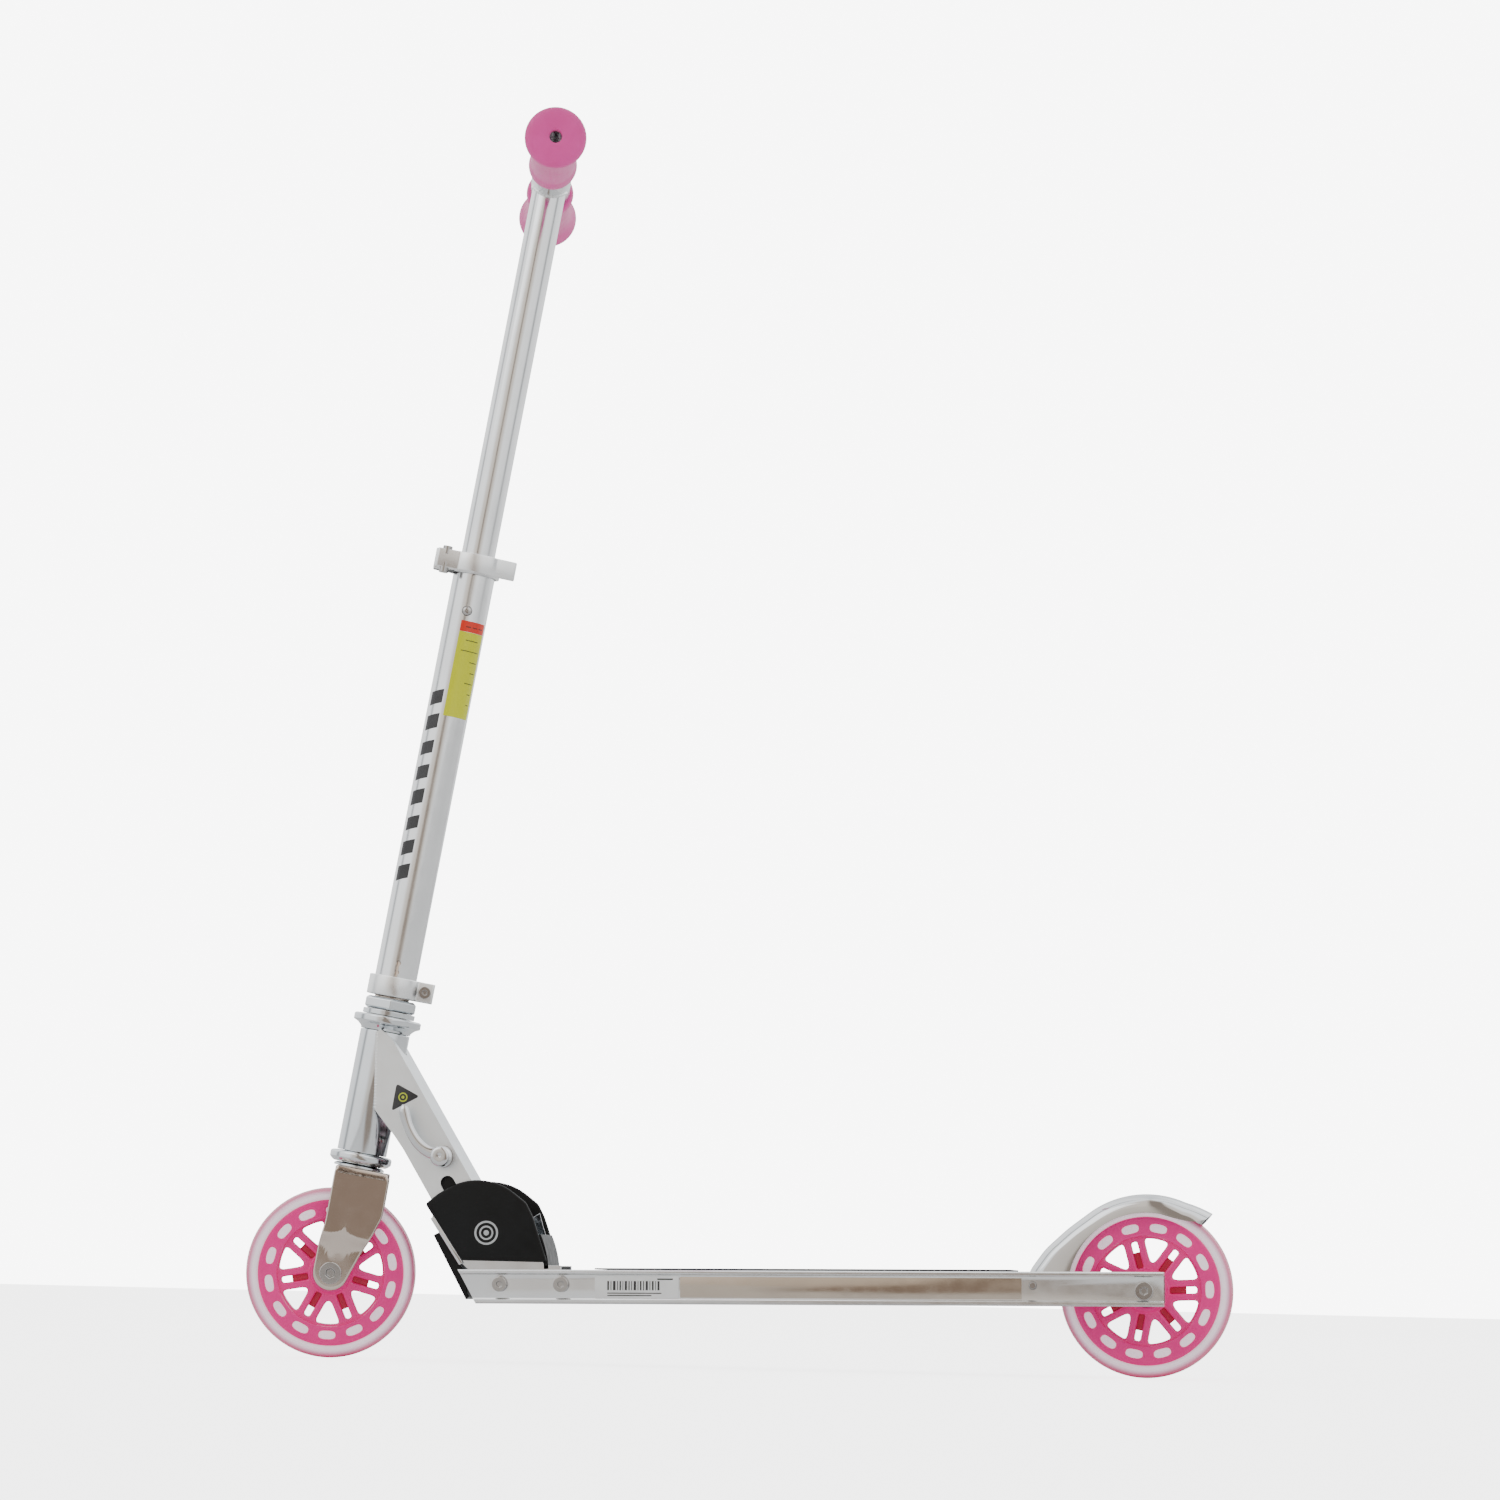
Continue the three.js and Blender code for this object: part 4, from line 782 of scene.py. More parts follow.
# ---- wheels ----
@dataclass
class Wheel:
    """A spoked wheel about the Y axis of its own frame: pink rim, clear tyre and urethane windows."""

    end: str
    body: str
    place: Placement
    spokes: int = 7
    spoke_start: float = 0.0
    window_start: float = 0.0
    windows: int = 14
    hub: float = 14.6
    spoke_ring: float = 39.6
    spoke_half_depth: float = 7.5
    bar_centre: float = 4.8
    slot_half: float = 2.3
    slot_end: float = 35.0
    web_end: float = 27.5
    spoke_half: float = 7.3
    opening_low: float = 20.4
    opening_high: float = 36.6
    face: float = 10.4
    window_radius: float = 43.9
    window_half: tuple[float, float] = (6.1, 3.1)
    rim: float = 51.4
    points: int = 24

    def build(self) -> None:
        """Makes the rim, the webs, the windows and the tyre."""
        dress(self.rim_piece(), PINK_RIM, self.body, f"{self.end}_rim")
        dress(self.window_piece(), WINDOW_CLEAR, self.body)
        dress(self.tyre_piece(), CLEAR_TYRE, self.body, f"{self.end}_tyre")

    def turned_by(self, flat: Points, degrees: float) -> Points:
        """Plane points turned about the axle, X towards Z."""
        c, s = math.cos(math.radians(degrees)), math.sin(math.radians(degrees))
        return flat @ np.array([[c, s], [-s, c]])

    def edge_line(self, side: int, outwards: bool) -> Points:
        """The middle line of one bar of the spoke along X, from the hub to the rim or back."""
        offset = side * self.bar_centre
        ends = [math.sqrt(r**2 - offset**2) for r in (self.hub - 0.6, self.spoke_ring)]
        x = np.linspace(*(ends if outwards else ends[::-1]), self.points, endpoint=False)
        return np.stack([x, np.full_like(x, offset)], 1)

    def arc_between(self, radius: float, start: float, end: float) -> Points:
        """Points of an arc about the axle, without its last point."""
        return bow((0, 0), radius, start, end, self.points)[:-1]

    def matched(self, hole: Points, border: Points) -> Points:
        """The points where rays from the hole's middle to the border's points cross the hole's outline.

        The outline's distance is read at each ray's angle by straight interpolation.
        """
        centre = hole.mean(0)
        around = hole - centre
        angle = np.arctan2(around[:, 1], around[:, 0])
        order = np.argsort(angle)
        rays = border - centre
        at = np.arctan2(rays[:, 1], rays[:, 0])
        reach = np.interp(at, angle[order], np.hypot(*around[order].T), period=2 * math.pi)
        return centre + np.stack([np.cos(at), np.sin(at)], 1) * reach[:, None]

    def spoke_opening(self) -> tuple[Points, Points]:
        """The slot between the spoke's two bars, and the bars' middle lines with two arcs as its border."""
        lean = [math.degrees(math.asin(self.bar_centre / r)) for r in (self.hub - 0.6, self.spoke_ring)]
        border = np.vstack([
            self.edge_line(-1, True), self.arc_between(self.spoke_ring, -lean[1], lean[1]),
            self.edge_line(1, False), self.arc_between(self.hub - 0.6, lean[0], -lean[0]),
        ])
        start, half = self.hub + 1.2, self.slot_half
        slot = np.array([[start, -half], [self.slot_end, -half], [self.slot_end, half], [start, half]])
        return self.matched(resampled(softened(slot, 2.2, 10), 400), border), border

    def gap_opening(self) -> tuple[Points, Points]:
        """The rounded triangle between two spokes, and its border of bar lines and arcs."""
        pitch = 360 / self.spokes
        lean = [math.degrees(math.asin(self.bar_centre / r)) for r in (self.hub - 0.6, self.spoke_ring)]
        border = np.vstack([
            self.edge_line(1, True),
            self.arc_between(self.spoke_ring, lean[1], pitch - lean[1]),
            self.turned_by(self.edge_line(-1, False), pitch),
            self.arc_between(self.hub - 0.6, pitch - lean[0], lean[0]),
        ])
        wide = [math.degrees(math.asin(self.spoke_half / r)) for r in (self.opening_low, self.opening_high)]
        hole = np.vstack([
            bow((0, 0), self.opening_high, wide[1], pitch - wide[1], 3),
            bow((0, 0), self.opening_low, pitch - wide[0], wide[0], 1),
        ])
        return self.matched(resampled(softened(hole, 4.5, 12), 500), border), border

    def rim_piece(self) -> bpy.types.Object:
        """The spokes, the hub, the webs of the slots and the pierced rim ring."""
        skin = Skin()
        depth, count = self.spoke_half_depth, self.points
        for index in range(self.spokes):
            turn = self.spoke_start + index * 360 / self.spokes
            for hole, border in (self.spoke_opening(), self.gap_opening()):
                skin.opening(self.turned_by(hole, turn), self.turned_by(border, turn), (-depth, depth), 1.5,
                             walls=((count, 2 * count), (3 * count, 4 * count)))
        spokes = solid(f"{self.end}_rim_spokes", skin, self.place, weld=True)
        ring = Skin()
        self.add_ring(ring)
        self.add_hub(ring)
        self.add_webs(ring)
        outer = solid(f"{self.end}_rim_ring", ring, self.place, weld=False)
        return joined(spokes, outer, f"{self.end}_spoked_rim")

    def add_ring(self, skin: Skin) -> None:
        """The rim ring: a turned barrel whose two faces are pierced with blind ovals."""
        low, high = self.spoke_ring - 0.9, self.rim - 1.0
        depth, face = self.spoke_half_depth, self.face
        pitch = 360 / self.windows
        count = self.points
        around = bow((0, 0), 1.0, 0, 360, self.windows * (count - 1))[:-1]
        turned = self.turned_by(around, self.window_start - pitch / 2)
        ring = lambda r, y: np.stack([turned[:, 0] * r, np.full(len(turned), y), turned[:, 1] * r], -1)
        inner = [(low, -face), (low - 0.5, -face + 0.25)]
        inner += [(low - 1.3, -depth + 0.6), (low - 1.5, -depth + 1.4)]
        inner += [(r, -y) for r, y in inner[::-1]]
        outer = [(high, -face), (self.rim - 0.35, -face + 0.3), (self.rim, -face + 1.1)]
        outer += [(r, -y) for r, y in outer[::-1]]
        skin.grid(np.stack([ring(r, y) for r, y in inner]))
        skin.grid(np.stack([ring(r, y) for r, y in outer]))
        for index in range(self.windows):
            angle = self.window_start + index * pitch
            border = np.vstack([
                self.face_arc(high, -pitch / 2, pitch / 2), self.face_side(high, low, pitch / 2),
                self.face_arc(low, pitch / 2, -pitch / 2), self.face_side(low, high, -pitch / 2),
            ])
            hole = self.matched(self.oval(), border)
            for side in (-1, 1):
                skin.opening(self.turned_by(hole, angle), self.turned_by(border, angle),
                             (side * face, side * (face - 1.6)), 0.45, blind=True)

    def face_arc(self, radius: float, start: float, end: float) -> Points:
        """An arc of one window's border, without its last point."""
        return bow((0, 0), radius, start, end, self.points - 1)[:-1]

    def face_side(self, start: float, end: float, degrees: float) -> Points:
        """A radial side of one window's border, without its last point."""
        r = np.linspace(start, end, 8, endpoint=False)
        a = math.radians(degrees)
        return np.stack([r * math.cos(a), r * math.sin(a)], 1)

    def oval(self) -> Points:
        """A long rounded window whose middle line follows the rim: superellipse of power 2.8."""
        t = np.linspace(0, 2 * math.pi, 240, endpoint=False)
        power = 2 / 2.8
        along = self.window_half[0] * np.sign(np.cos(t)) * np.abs(np.cos(t)) ** power
        out = self.window_half[1] * np.sign(np.sin(t)) * np.abs(np.sin(t)) ** power
        r, a = self.window_radius + out, along / self.window_radius
        return np.stack([r * np.cos(a), r * np.sin(a)], 1)

    def add_hub(self, skin: Skin) -> None:
        """The hub barrel with its bearing seats, a rounded rim and a step to the spokes."""
        end, seat, depth = 11.4, 11.2, 4.5
        profile = np.array([
            [self.hub + 1.6, -7.2], [self.hub, -8.2], [self.hub - 0.6, -end], [seat, -end], [seat, -depth],
            [8.0, -depth], [8.0, depth], [seat, depth], [seat, end], [self.hub - 0.6, end],
            [self.hub, 8.2], [self.hub + 1.6, 7.2],
        ])
        skin.turned(softened(profile, 0.7, 3), 96)

    def add_webs(self, skin: Skin) -> None:
        """The recessed web between each spoke's bars, from the hub to where the slot opens, painted dark as
        painted shade in the recess.
        """
        start, half = self.hub - 0.6, self.slot_half + 0.6
        for index in range(self.spokes):
            web = np.array([[start, -half], [self.web_end, -half], [self.web_end, half], [start, half]])
            turned = self.turned_by(web, self.spoke_start + index * 360 / self.spokes)
            before = len(skin.tones)
            skin.plate(turned, -3.4, 3.4, 0.4)
            # Tone one: the web's darker pink is painted shade.
            skin.tones[before] = np.ones_like(skin.tones[before])

    def window_piece(self) -> bpy.types.Object:
        """Clear keys of the tyre that show in the rim's ovals, a little below its face."""
        skin = Skin()
        pitch = 360 / self.windows
        outline = resampled(self.oval(), 48)
        outline = outline - outward(outline) * 0.12
        for index in range(self.windows):
            turned = self.turned_by(outline, self.window_start + index * pitch)
            for low, high in ((0.35 - self.face, 2.0 - self.face), (self.face - 2.0, self.face - 0.35)):
                skin.plate(turned, low, high, 0.4)
        return solid(f"{self.end}_rim_windows", skin, self.place)

    def tyre_piece(self) -> bpy.types.Object:
        """The tyre: a round-shouldered band whose tone rises from its seat to its tread."""
        inner, tread = self.rim - 0.2, WHEEL_RADIUS
        half = 12.0
        side = np.array([
            [inner, 9.6], [inner + 0.9, half - 0.9], [inner + 2.4, half], [tread - 3.4, half - 0.5],
            [tread - 1.2, half - 3.0], [tread - 0.15, half - 7.0], [tread, 2.5],
        ])
        profile = np.vstack([side, (side * (1, -1))[::-1]])
        profile = softened(profile, 1.6, 5)
        tone = np.clip((profile[:, 0] - inner) / (tread - inner), 0, 1)
        skin = Skin()
        skin.turned(profile, 128, tone)
        return solid(f"{self.end}_clear_tyre", skin, self.place)


def joined(first: bpy.types.Object, second: bpy.types.Object, name: str) -> bpy.types.Object:
    """Joins two pieces' meshes into one piece.

    Args:
        first: One piece.
        second: The other, which is removed.
        name: The joined piece's name.

    Returns:
        The joined piece.
    """
    work = bmesh.new()
    for piece in (first, second):
        work.from_mesh(piece.data)
    bmesh.ops.remove_doubles(work, verts=work.verts, dist=1e-6)
    bmesh.ops.recalc_face_normals(work, faces=work.faces)
    work.to_mesh(first.data)
    work.free()
    first.data.shade_smooth()
    first.data.set_sharp_from_angle(angle=SHARP_ANGLE)
    first.name = first.data.name = name
    bpy.data.objects.remove(second)
    return first


# ---- handlebar ----
@dataclass
class Handlebar:
    """The bar socket on the inner tube, and two handles with turned rubber grips."""

    height: float = 798.8
    socket: float = 14.3
    socket_half: float = 44.0
    bore: float = 11.3
    grip_start: float = 47.0
    grip_end: float = 161.0
    flange: float = 21.5
    tube: float = 12.1
    tube_low: float = 430.0

    def build(self) -> None:
        """Makes the tube, the socket with its weld, and the two grips."""
        dress(self.inner_tube(), STEM_METAL, "handlebar", "inner_stem_tube")
        dress(self.socket_piece(), STEM_METAL, "handlebar", "bar_socket")
        dress(self.weld(), CLAMP_METAL, "handlebar")
        for name, side, body in (("near", -1, "near_handle"), ("far", 1, "far_handle")):
            dress(self.grip(name, side), PINK_GRIP, body, f"grip_{name}")
            dress(eased(f"handle_tube_{name}", f"{name}_handle_tube", 0.2), STEM_METAL, body)
        dress(eased("handle_cord", "elastic_handle_cord", 0.2), ELASTIC, "handlebar")

    def inner_tube(self) -> bpy.types.Object:
        """The inner tube, coped at its top to the socket: each point's top is the socket's underside."""
        a = np.linspace(0, 2 * math.pi, 96, endpoint=False)
        rows = []
        for radius, order in ((self.tube, 1), (self.tube - 1.8, -1)):
            x, y = radius * np.cos(a), radius * np.sin(a)
            top = self.height - np.sqrt(self.socket**2 - np.clip(np.abs(x), 0, self.socket - 0.1) ** 2) + 0.15
            for part in (0, 0.5, 1)[::order]:
                rows.append(np.stack([x, y, self.tube_low + (top - self.tube_low) * part], -1))
        skin = Skin()
        skin.grid(np.stack(rows), closed_rows=True)
        return solid("telescopic_tube", skin, STEERING)

    def socket_piece(self) -> bpy.types.Object:
        """The bar socket: a turned tube with eased ends."""
        half = self.socket_half
        profile = np.array([[self.bore, -half], [self.socket, -half], [self.socket, half], [self.bore, half]])
        skin = Skin()
        skin.turned(softened(profile, 0.7, 4), 96)
        return solid("handle_socket", skin, STEERING.at(0, 0, self.height))

    def weld(self) -> bpy.types.Object:
        """A rippled weld bead where the tube meets the socket, a rod along the saddle curve."""
        a = np.linspace(0, 2 * math.pi, 192, endpoint=False)
        x, y = self.tube * np.cos(a), self.tube * np.sin(a)
        z = self.height - np.sqrt(self.socket**2 - x**2)
        path = np.stack([x, y, z], -1)
        out = np.stack([np.cos(a), np.sin(a), np.full_like(a, -0.7)], -1)
        out /= np.linalg.norm(out, axis=1, keepdims=True)
        along = np.roll(path, -1, 0) - np.roll(path, 1, 0)
        along /= np.linalg.norm(along, axis=1, keepdims=True)
        side = np.cross(out, along)
        b = np.linspace(0, 2 * math.pi, 10, endpoint=False)
        size = 1.25 + 0.13 * np.sin(a * 34)
        rows = path[:, None] + size[:, None, None] * (
            out[:, None] * np.cos(b)[None, :, None] + side[:, None] * np.sin(b)[None, :, None])
        skin = Skin()
        skin.grid(rows, closed_rows=True)
        return solid("socket_weld", skin, STEERING)

    def grip(self, name: str, side: int) -> bpy.types.Object:
        """A turned grip: a round bulge by the socket, a waist, a flared end and a domed face."""
        s, e = self.grip_start, self.grip_end
        corners = np.array([
            [self.bore, s], [15.0, s], [16.9, s + 3.5], [17.3, s + 8], [16.7, s + 14], [15.7, s + 19],
            [15.6, s + 26], [15.7, s + 60], [16.2, s + 80], [17.6, s + 92], [20.0, s + 100],
            [self.flange, s + 105.5], [self.flange, s + 108.5], [20.9, s + 110.6], [18.6, e - 1.4],
            [13.0, e - 0.3], [6.0, e], [4.3, e - 0.5], [4.3, e - 7.5], [self.bore, e - 7.5],
        ])
        profile = softened(corners, 3.0, 5)
        skin = Skin()
        skin.turned(profile * (1, side), 112)
        return solid(f"{name}_rubber_grip", skin, STEERING.at(0, 0, self.height))


# ---- steering stem ----
@dataclass
class Stem:
    """The outer stem tube with its slits, its two clamps, the lever, the label and the print."""

    radius: float = 15.0
    wall: float = 2.2
    low: float = 198.5
    high: float = 520.0
    button_height: float = 478.5
    button: float = 3.7
    slit: float = 0.8
    near: float = -90.0
    slit_end: tuple[float, float] = (24.0, 1.9)
    slit_keyhole: tuple[float, float] = (17.5, 1.8)
    clamp_split: float = 1.4
    clamp_high: float = 212.5
    clamp_radius: float = 18.6
    collar_low: float = 505.4
    collar_radius: float = 18.0

    def build(self) -> None:
        """Makes the stem's pieces."""
        dress(self.tube(), STEM_METAL, "steering", "stem_tube")
        lower = self.clamp("lower_clamp_ring", (self.low, self.clamp_high), self.clamp_radius, 28.6, 1, 8.6)
        heights = (self.collar_low, self.high)
        collar = self.clamp("height_collar_ring", heights, self.collar_radius, 30.0, -1, 8.0)
        dress(lower, CLAMP_METAL, "steering", "steerer_clamp")
        dress(collar, CLAMP_METAL, "steering", "height_collar")
        dress(self.lever(), CLAMP_METAL, "collar_lever", "collar_lever")
        dress(self.label(), LABEL_FILM, "steering", "stem_label")
        dress(self.marks(), DARK_PRINT, "steering")
        dress(self.snap_button(), BOLT_STEEL, "height_button", "height_button")
        for node, name in (("steerer_clamp_bolt", "lower_clamp_bolt"), ("collar_bolt", "collar_clamp_bolt"),
                           ("collar_cam_pin", "collar_lever_pin")):
            dress(eased(node, name, 0.4), BOLT_STEEL, "steering")

    def gap(self, height: Points) -> Points:
        """Half the slit's width at each height: the slits, their keyholes and the button's hole.

        A hole's half width at height t is sqrt(r^2 - (t - centre)^2), and the widest feature counts.
        """
        round_at = lambda centre, r: np.sqrt(np.clip(r**2 - (height - centre) ** 2, 0, None))
        slotted = (height > self.button_height) | (height < self.low + self.slit_end[0])
        slit = np.where(slotted, self.slit, 0.0)
        return np.maximum.reduce([slit, *(round_at(*hole) for hole in self.holes())])

    def holes(self) -> list[tuple[float, float]]:
        """The height and the radius of each round hole on the near side."""
        low = [(self.low + up, radius) for up, radius in (self.slit_end, self.slit_keyhole)]
        return [(self.button_height, self.button), *low]

    def tube(self) -> bpy.types.Object:
        """The tube: each height's section is a ring cut open at the near side by the slit's width."""
        half_turn = np.sin(np.linspace(-math.pi / 2, math.pi / 2, 17))
        dense = [centre + radius * half_turn for centre, radius in self.holes()]
        heights = np.unique(np.round(np.concatenate([
            np.linspace(self.low, self.high, 24), *dense, [self.low + 0.4, self.high - 0.4]]), 3))
        gap = self.gap(heights)
        u = np.linspace(0, 1, 129)
        rows = []
        for height, half in zip(heights, gap):
            edge = 0.5 * max(0.0, 1 - min(height - self.low, self.high - height) / 0.4)
            ring = []
            for radius, forward in ((self.radius - edge, u), (self.radius - self.wall, u[::-1])):
                lean = math.asin(half / radius)
                a = math.radians(self.near) + lean + forward * (2 * math.pi - 2 * lean)
                ring.append(np.stack([radius * np.cos(a), radius * np.sin(a), np.full_like(a, height)], -1))
            rows.append(np.vstack(ring))
        skin = Skin()
        skin.grid(np.stack(rows), caps=True)
        return solid("outer_stem_tube", skin, STEERING)

    def clamp(self, name: str, heights: tuple[float, float], outer: float, reach: float, side: int,
              ear: float) -> bpy.types.Object:
        """A split ring with two ears, one closed outline that goes round outside and back inside."""
        bore, split = self.radius + 0.3, self.clamp_split
        lean = math.degrees(math.asin(ear / outer))
        bite = math.degrees(math.asin(split / bore))
        ears = np.array([[reach, ear], [reach, split]])
        around = bow((0, 0), outer, -lean, lean - 360, 72)
        outside = np.vstack([[[reach, -split], [reach, -ear]], around, ears])
        inside = bow((0, 0), bore, bite, 360 - bite, 72)
        corners = np.vstack([softened(outside, 1.6, 4, closed=False), inside])
        skin = Skin()
        skin.plate(corners * (side, 1), *heights, 0.7, upright=True)
        return solid(name, skin, STEERING)

    def lever(self) -> bpy.types.Object:
        """The quick lever: a cam head on its pin and a thin band round to the rear with a flared tip."""
        x, cam = -22.0, -15.4
        inner, outer = 18.9, 22.1
        head = bow((x, cam), 6.8, 250, 60, 14)
        corners = np.vstack([
            bow((0, 0), outer, 236, 312, 30), [[20.6, -15.2], [24.6, -13.9], [28.4, -12.9], [28.8, -10.9]],
            [[24.2, -11.4], [19.6, -12.2]], bow((0, 0), inner, 316, 243, 30), [[-11.8, -15.6]],
            head[::-1][:-3],
        ])
        skin = Skin()
        skin.plate(softened(corners, 1.2, 3), 505.8, 519.4, 0.9, upright=True)
        return solid("height_lever", skin, STEERING)

    def wrapped(self, skin: Skin, corners: Points, radius: float, thick: float, tone: float = 0.0) -> None:
        """Adds a thin film on the stem from corners of distance round it and height.

        A film point at distance d stands at angle near + d / radius, and its four sides close it.
        """
        (d0, t0), (d1, t1), (d2, t2), (d3, t3) = corners
        u = np.linspace(0, 1, 15)
        v = np.linspace(0, 1, 3)[:, None]
        along = (d0 + (d1 - d0) * u) * (1 - v) + (d3 + (d2 - d3) * u) * v
        height = (t0 + (t1 - t0) * u) * (1 - v) + (t3 + (t2 - t3) * u) * v
        a = math.radians(self.near) + along / self.radius
        shell = [np.stack([r * np.cos(a), r * np.sin(a), height], -1) for r in (radius, radius + thick)]
        base = skin.count
        m, n = a.shape
        for layer in shell:
            skin.grid(layer, closed_ring=False, tone=tone)
        edge = ([(0, j) for j in range(n)] + [(i, n - 1) for i in range(1, m)]
                + [(m - 1, j) for j in range(n - 2, -1, -1)] + [(i, 0) for i in range(m - 2, 0, -1)])
        ids = [base + i * n + j for i, j in edge]
        skin.faces += [[p, q, q + m * n, p + m * n] for p, q in zip(ids, ids[1:] + ids[:1])]

    def label(self) -> bpy.types.Object:
        """The label: a yellow field, an orange head, and plain dark lines in place of words."""
        skin = Skin()
        left, right = -2.6, 17.6
        field_of = lambda t0, t1: np.array([[left, t0], [right, t0], [right, t1], [left, t1]])
        self.wrapped(skin, field_of(402.0, 463.6), self.radius + 0.12, 0.16, 0.1)
        self.wrapped(skin, field_of(463.8, 471.5), self.radius + 0.12, 0.16, 0.6)
        for row, start in enumerate((3, 1, 9, 11, 8, 12, 13)):
            stop = 13 if row == 0 else 15.4
            t = 457.5 - row * 7.6
            line = np.array([[start, t], [stop, t], [stop, t + 0.55], [start, t + 0.55]])
            self.wrapped(skin, line, self.radius + 0.24, 0.08, 1.0)
        for start in (1.5, 6.5, 11.5):
            line = np.array([[start, 467.0], [start + 3.6, 467.0], [start + 3.6, 467.6], [start, 467.6]])
            self.wrapped(skin, line, self.radius + 0.24, 0.08, 1.0)
        return solid("stem_info_label", skin, STEERING)

    def marks(self) -> bpy.types.Object:
        """A generic row of slanted blocks down the stem, in place of lettering."""
        skin = Skin()
        for index in range(8):
            t = 280.0 + index * 18.2
            width, tall = 10.6, 10.5 - 0.6 * (index % 3)
            left = -16.0
            right, rise = left + width, t + 3.4
            block = np.array([[left, t], [right, rise], [right, rise + tall], [left, t + tall]])
            self.wrapped(skin, block, self.radius + 0.08, 0.1)
        return solid("stem_pattern", skin, STEERING)

    def snap_button(self) -> bpy.types.Object:
        """The snap button: a turned peg with a domed end."""
        profile = np.array([
            [0.01, -16.6], [1.6, -16.5], [2.8, -16.0], [3.4, -15.0], [3.4, -12.5], [0.01, -12.5],
        ])
        skin = Skin()
        skin.turned(softened(profile, 0.5, 3), 40)
        return solid("snap_button", skin, STEERING.at(0, 0, self.button_height), weld=True)


# ---- head tube and fork ----
@dataclass
class Head:
    """The head tube on the neck with its two cups and what the locknut clamps."""

    radius: float = 17.7
    bore: float = 15.2
    low: float = 86.0
    high: float = 173.0

    def build(self) -> None:
        """Makes the head tube, cups and races, and eases the locknut."""
        z = self.high + 0.3
        tube = [[r, h] for r, h in ((self.bore, self.low), (self.radius, self.low),
                                    (self.radius, self.high), (self.bore, self.high))]
        upper = [[15.6, z], [17.7, z], [18.0, z + 1.6], [20.6, z + 4.0], [24.0, z + 5.6], [24.0, z + 9.8],
                 [22.6, z + 10.6], [15.6, z + 10.6]]
        b = self.low - 0.3
        lower = [[15.6, b], [15.6, b - 8], [18.5, b - 8], [20.2, b - 7.0], [22.0, b - 5.2], [22.0, b - 1.6],
                 [21.2, b - 0.6], [18.4, b]]
        race = [[12.7, 74.9], [18, 74.9], [18, 76.3], [16, 77.4], [12.7, 77.4]]
        rings = (("head_tube_shell", "head_tube", tube), ("upper_head_cup", "upper_cup", upper),
                 ("lower_head_cup", "lower_cup", lower))
        for name, node, profile in rings:
            dress(self.ring(name, profile, HEAD, 0.6), HEAD_CHROME, "neck", node)
        dress(self.ring("fork_crown_race", race, STEERING, 0.4), HEAD_CHROME, "steering", "crown_race")
        dress(eased("adjusting_race", "adjusting_ring", 0.5), HEAD_CHROME, "steering")
        dress(eased("steerer_locknut", "head_locknut", 0.5, 3), HEAD_CHROME, "steering")
        for node in ("lower_head_bearing", "upper_head_bearing"):
            dress(eased(node, f"{node}_ring", 0.3), BOLT_STEEL, "neck")

    def ring(self, name: str, profile: list[list[float]], place: Placement, ease: float) -> bpy.types.Object:
        """A turned ring about the steering axis with softened corners."""
        skin = Skin()
        skin.upright(softened(np.array(profile), ease, 4))
        return solid(name, skin, place)


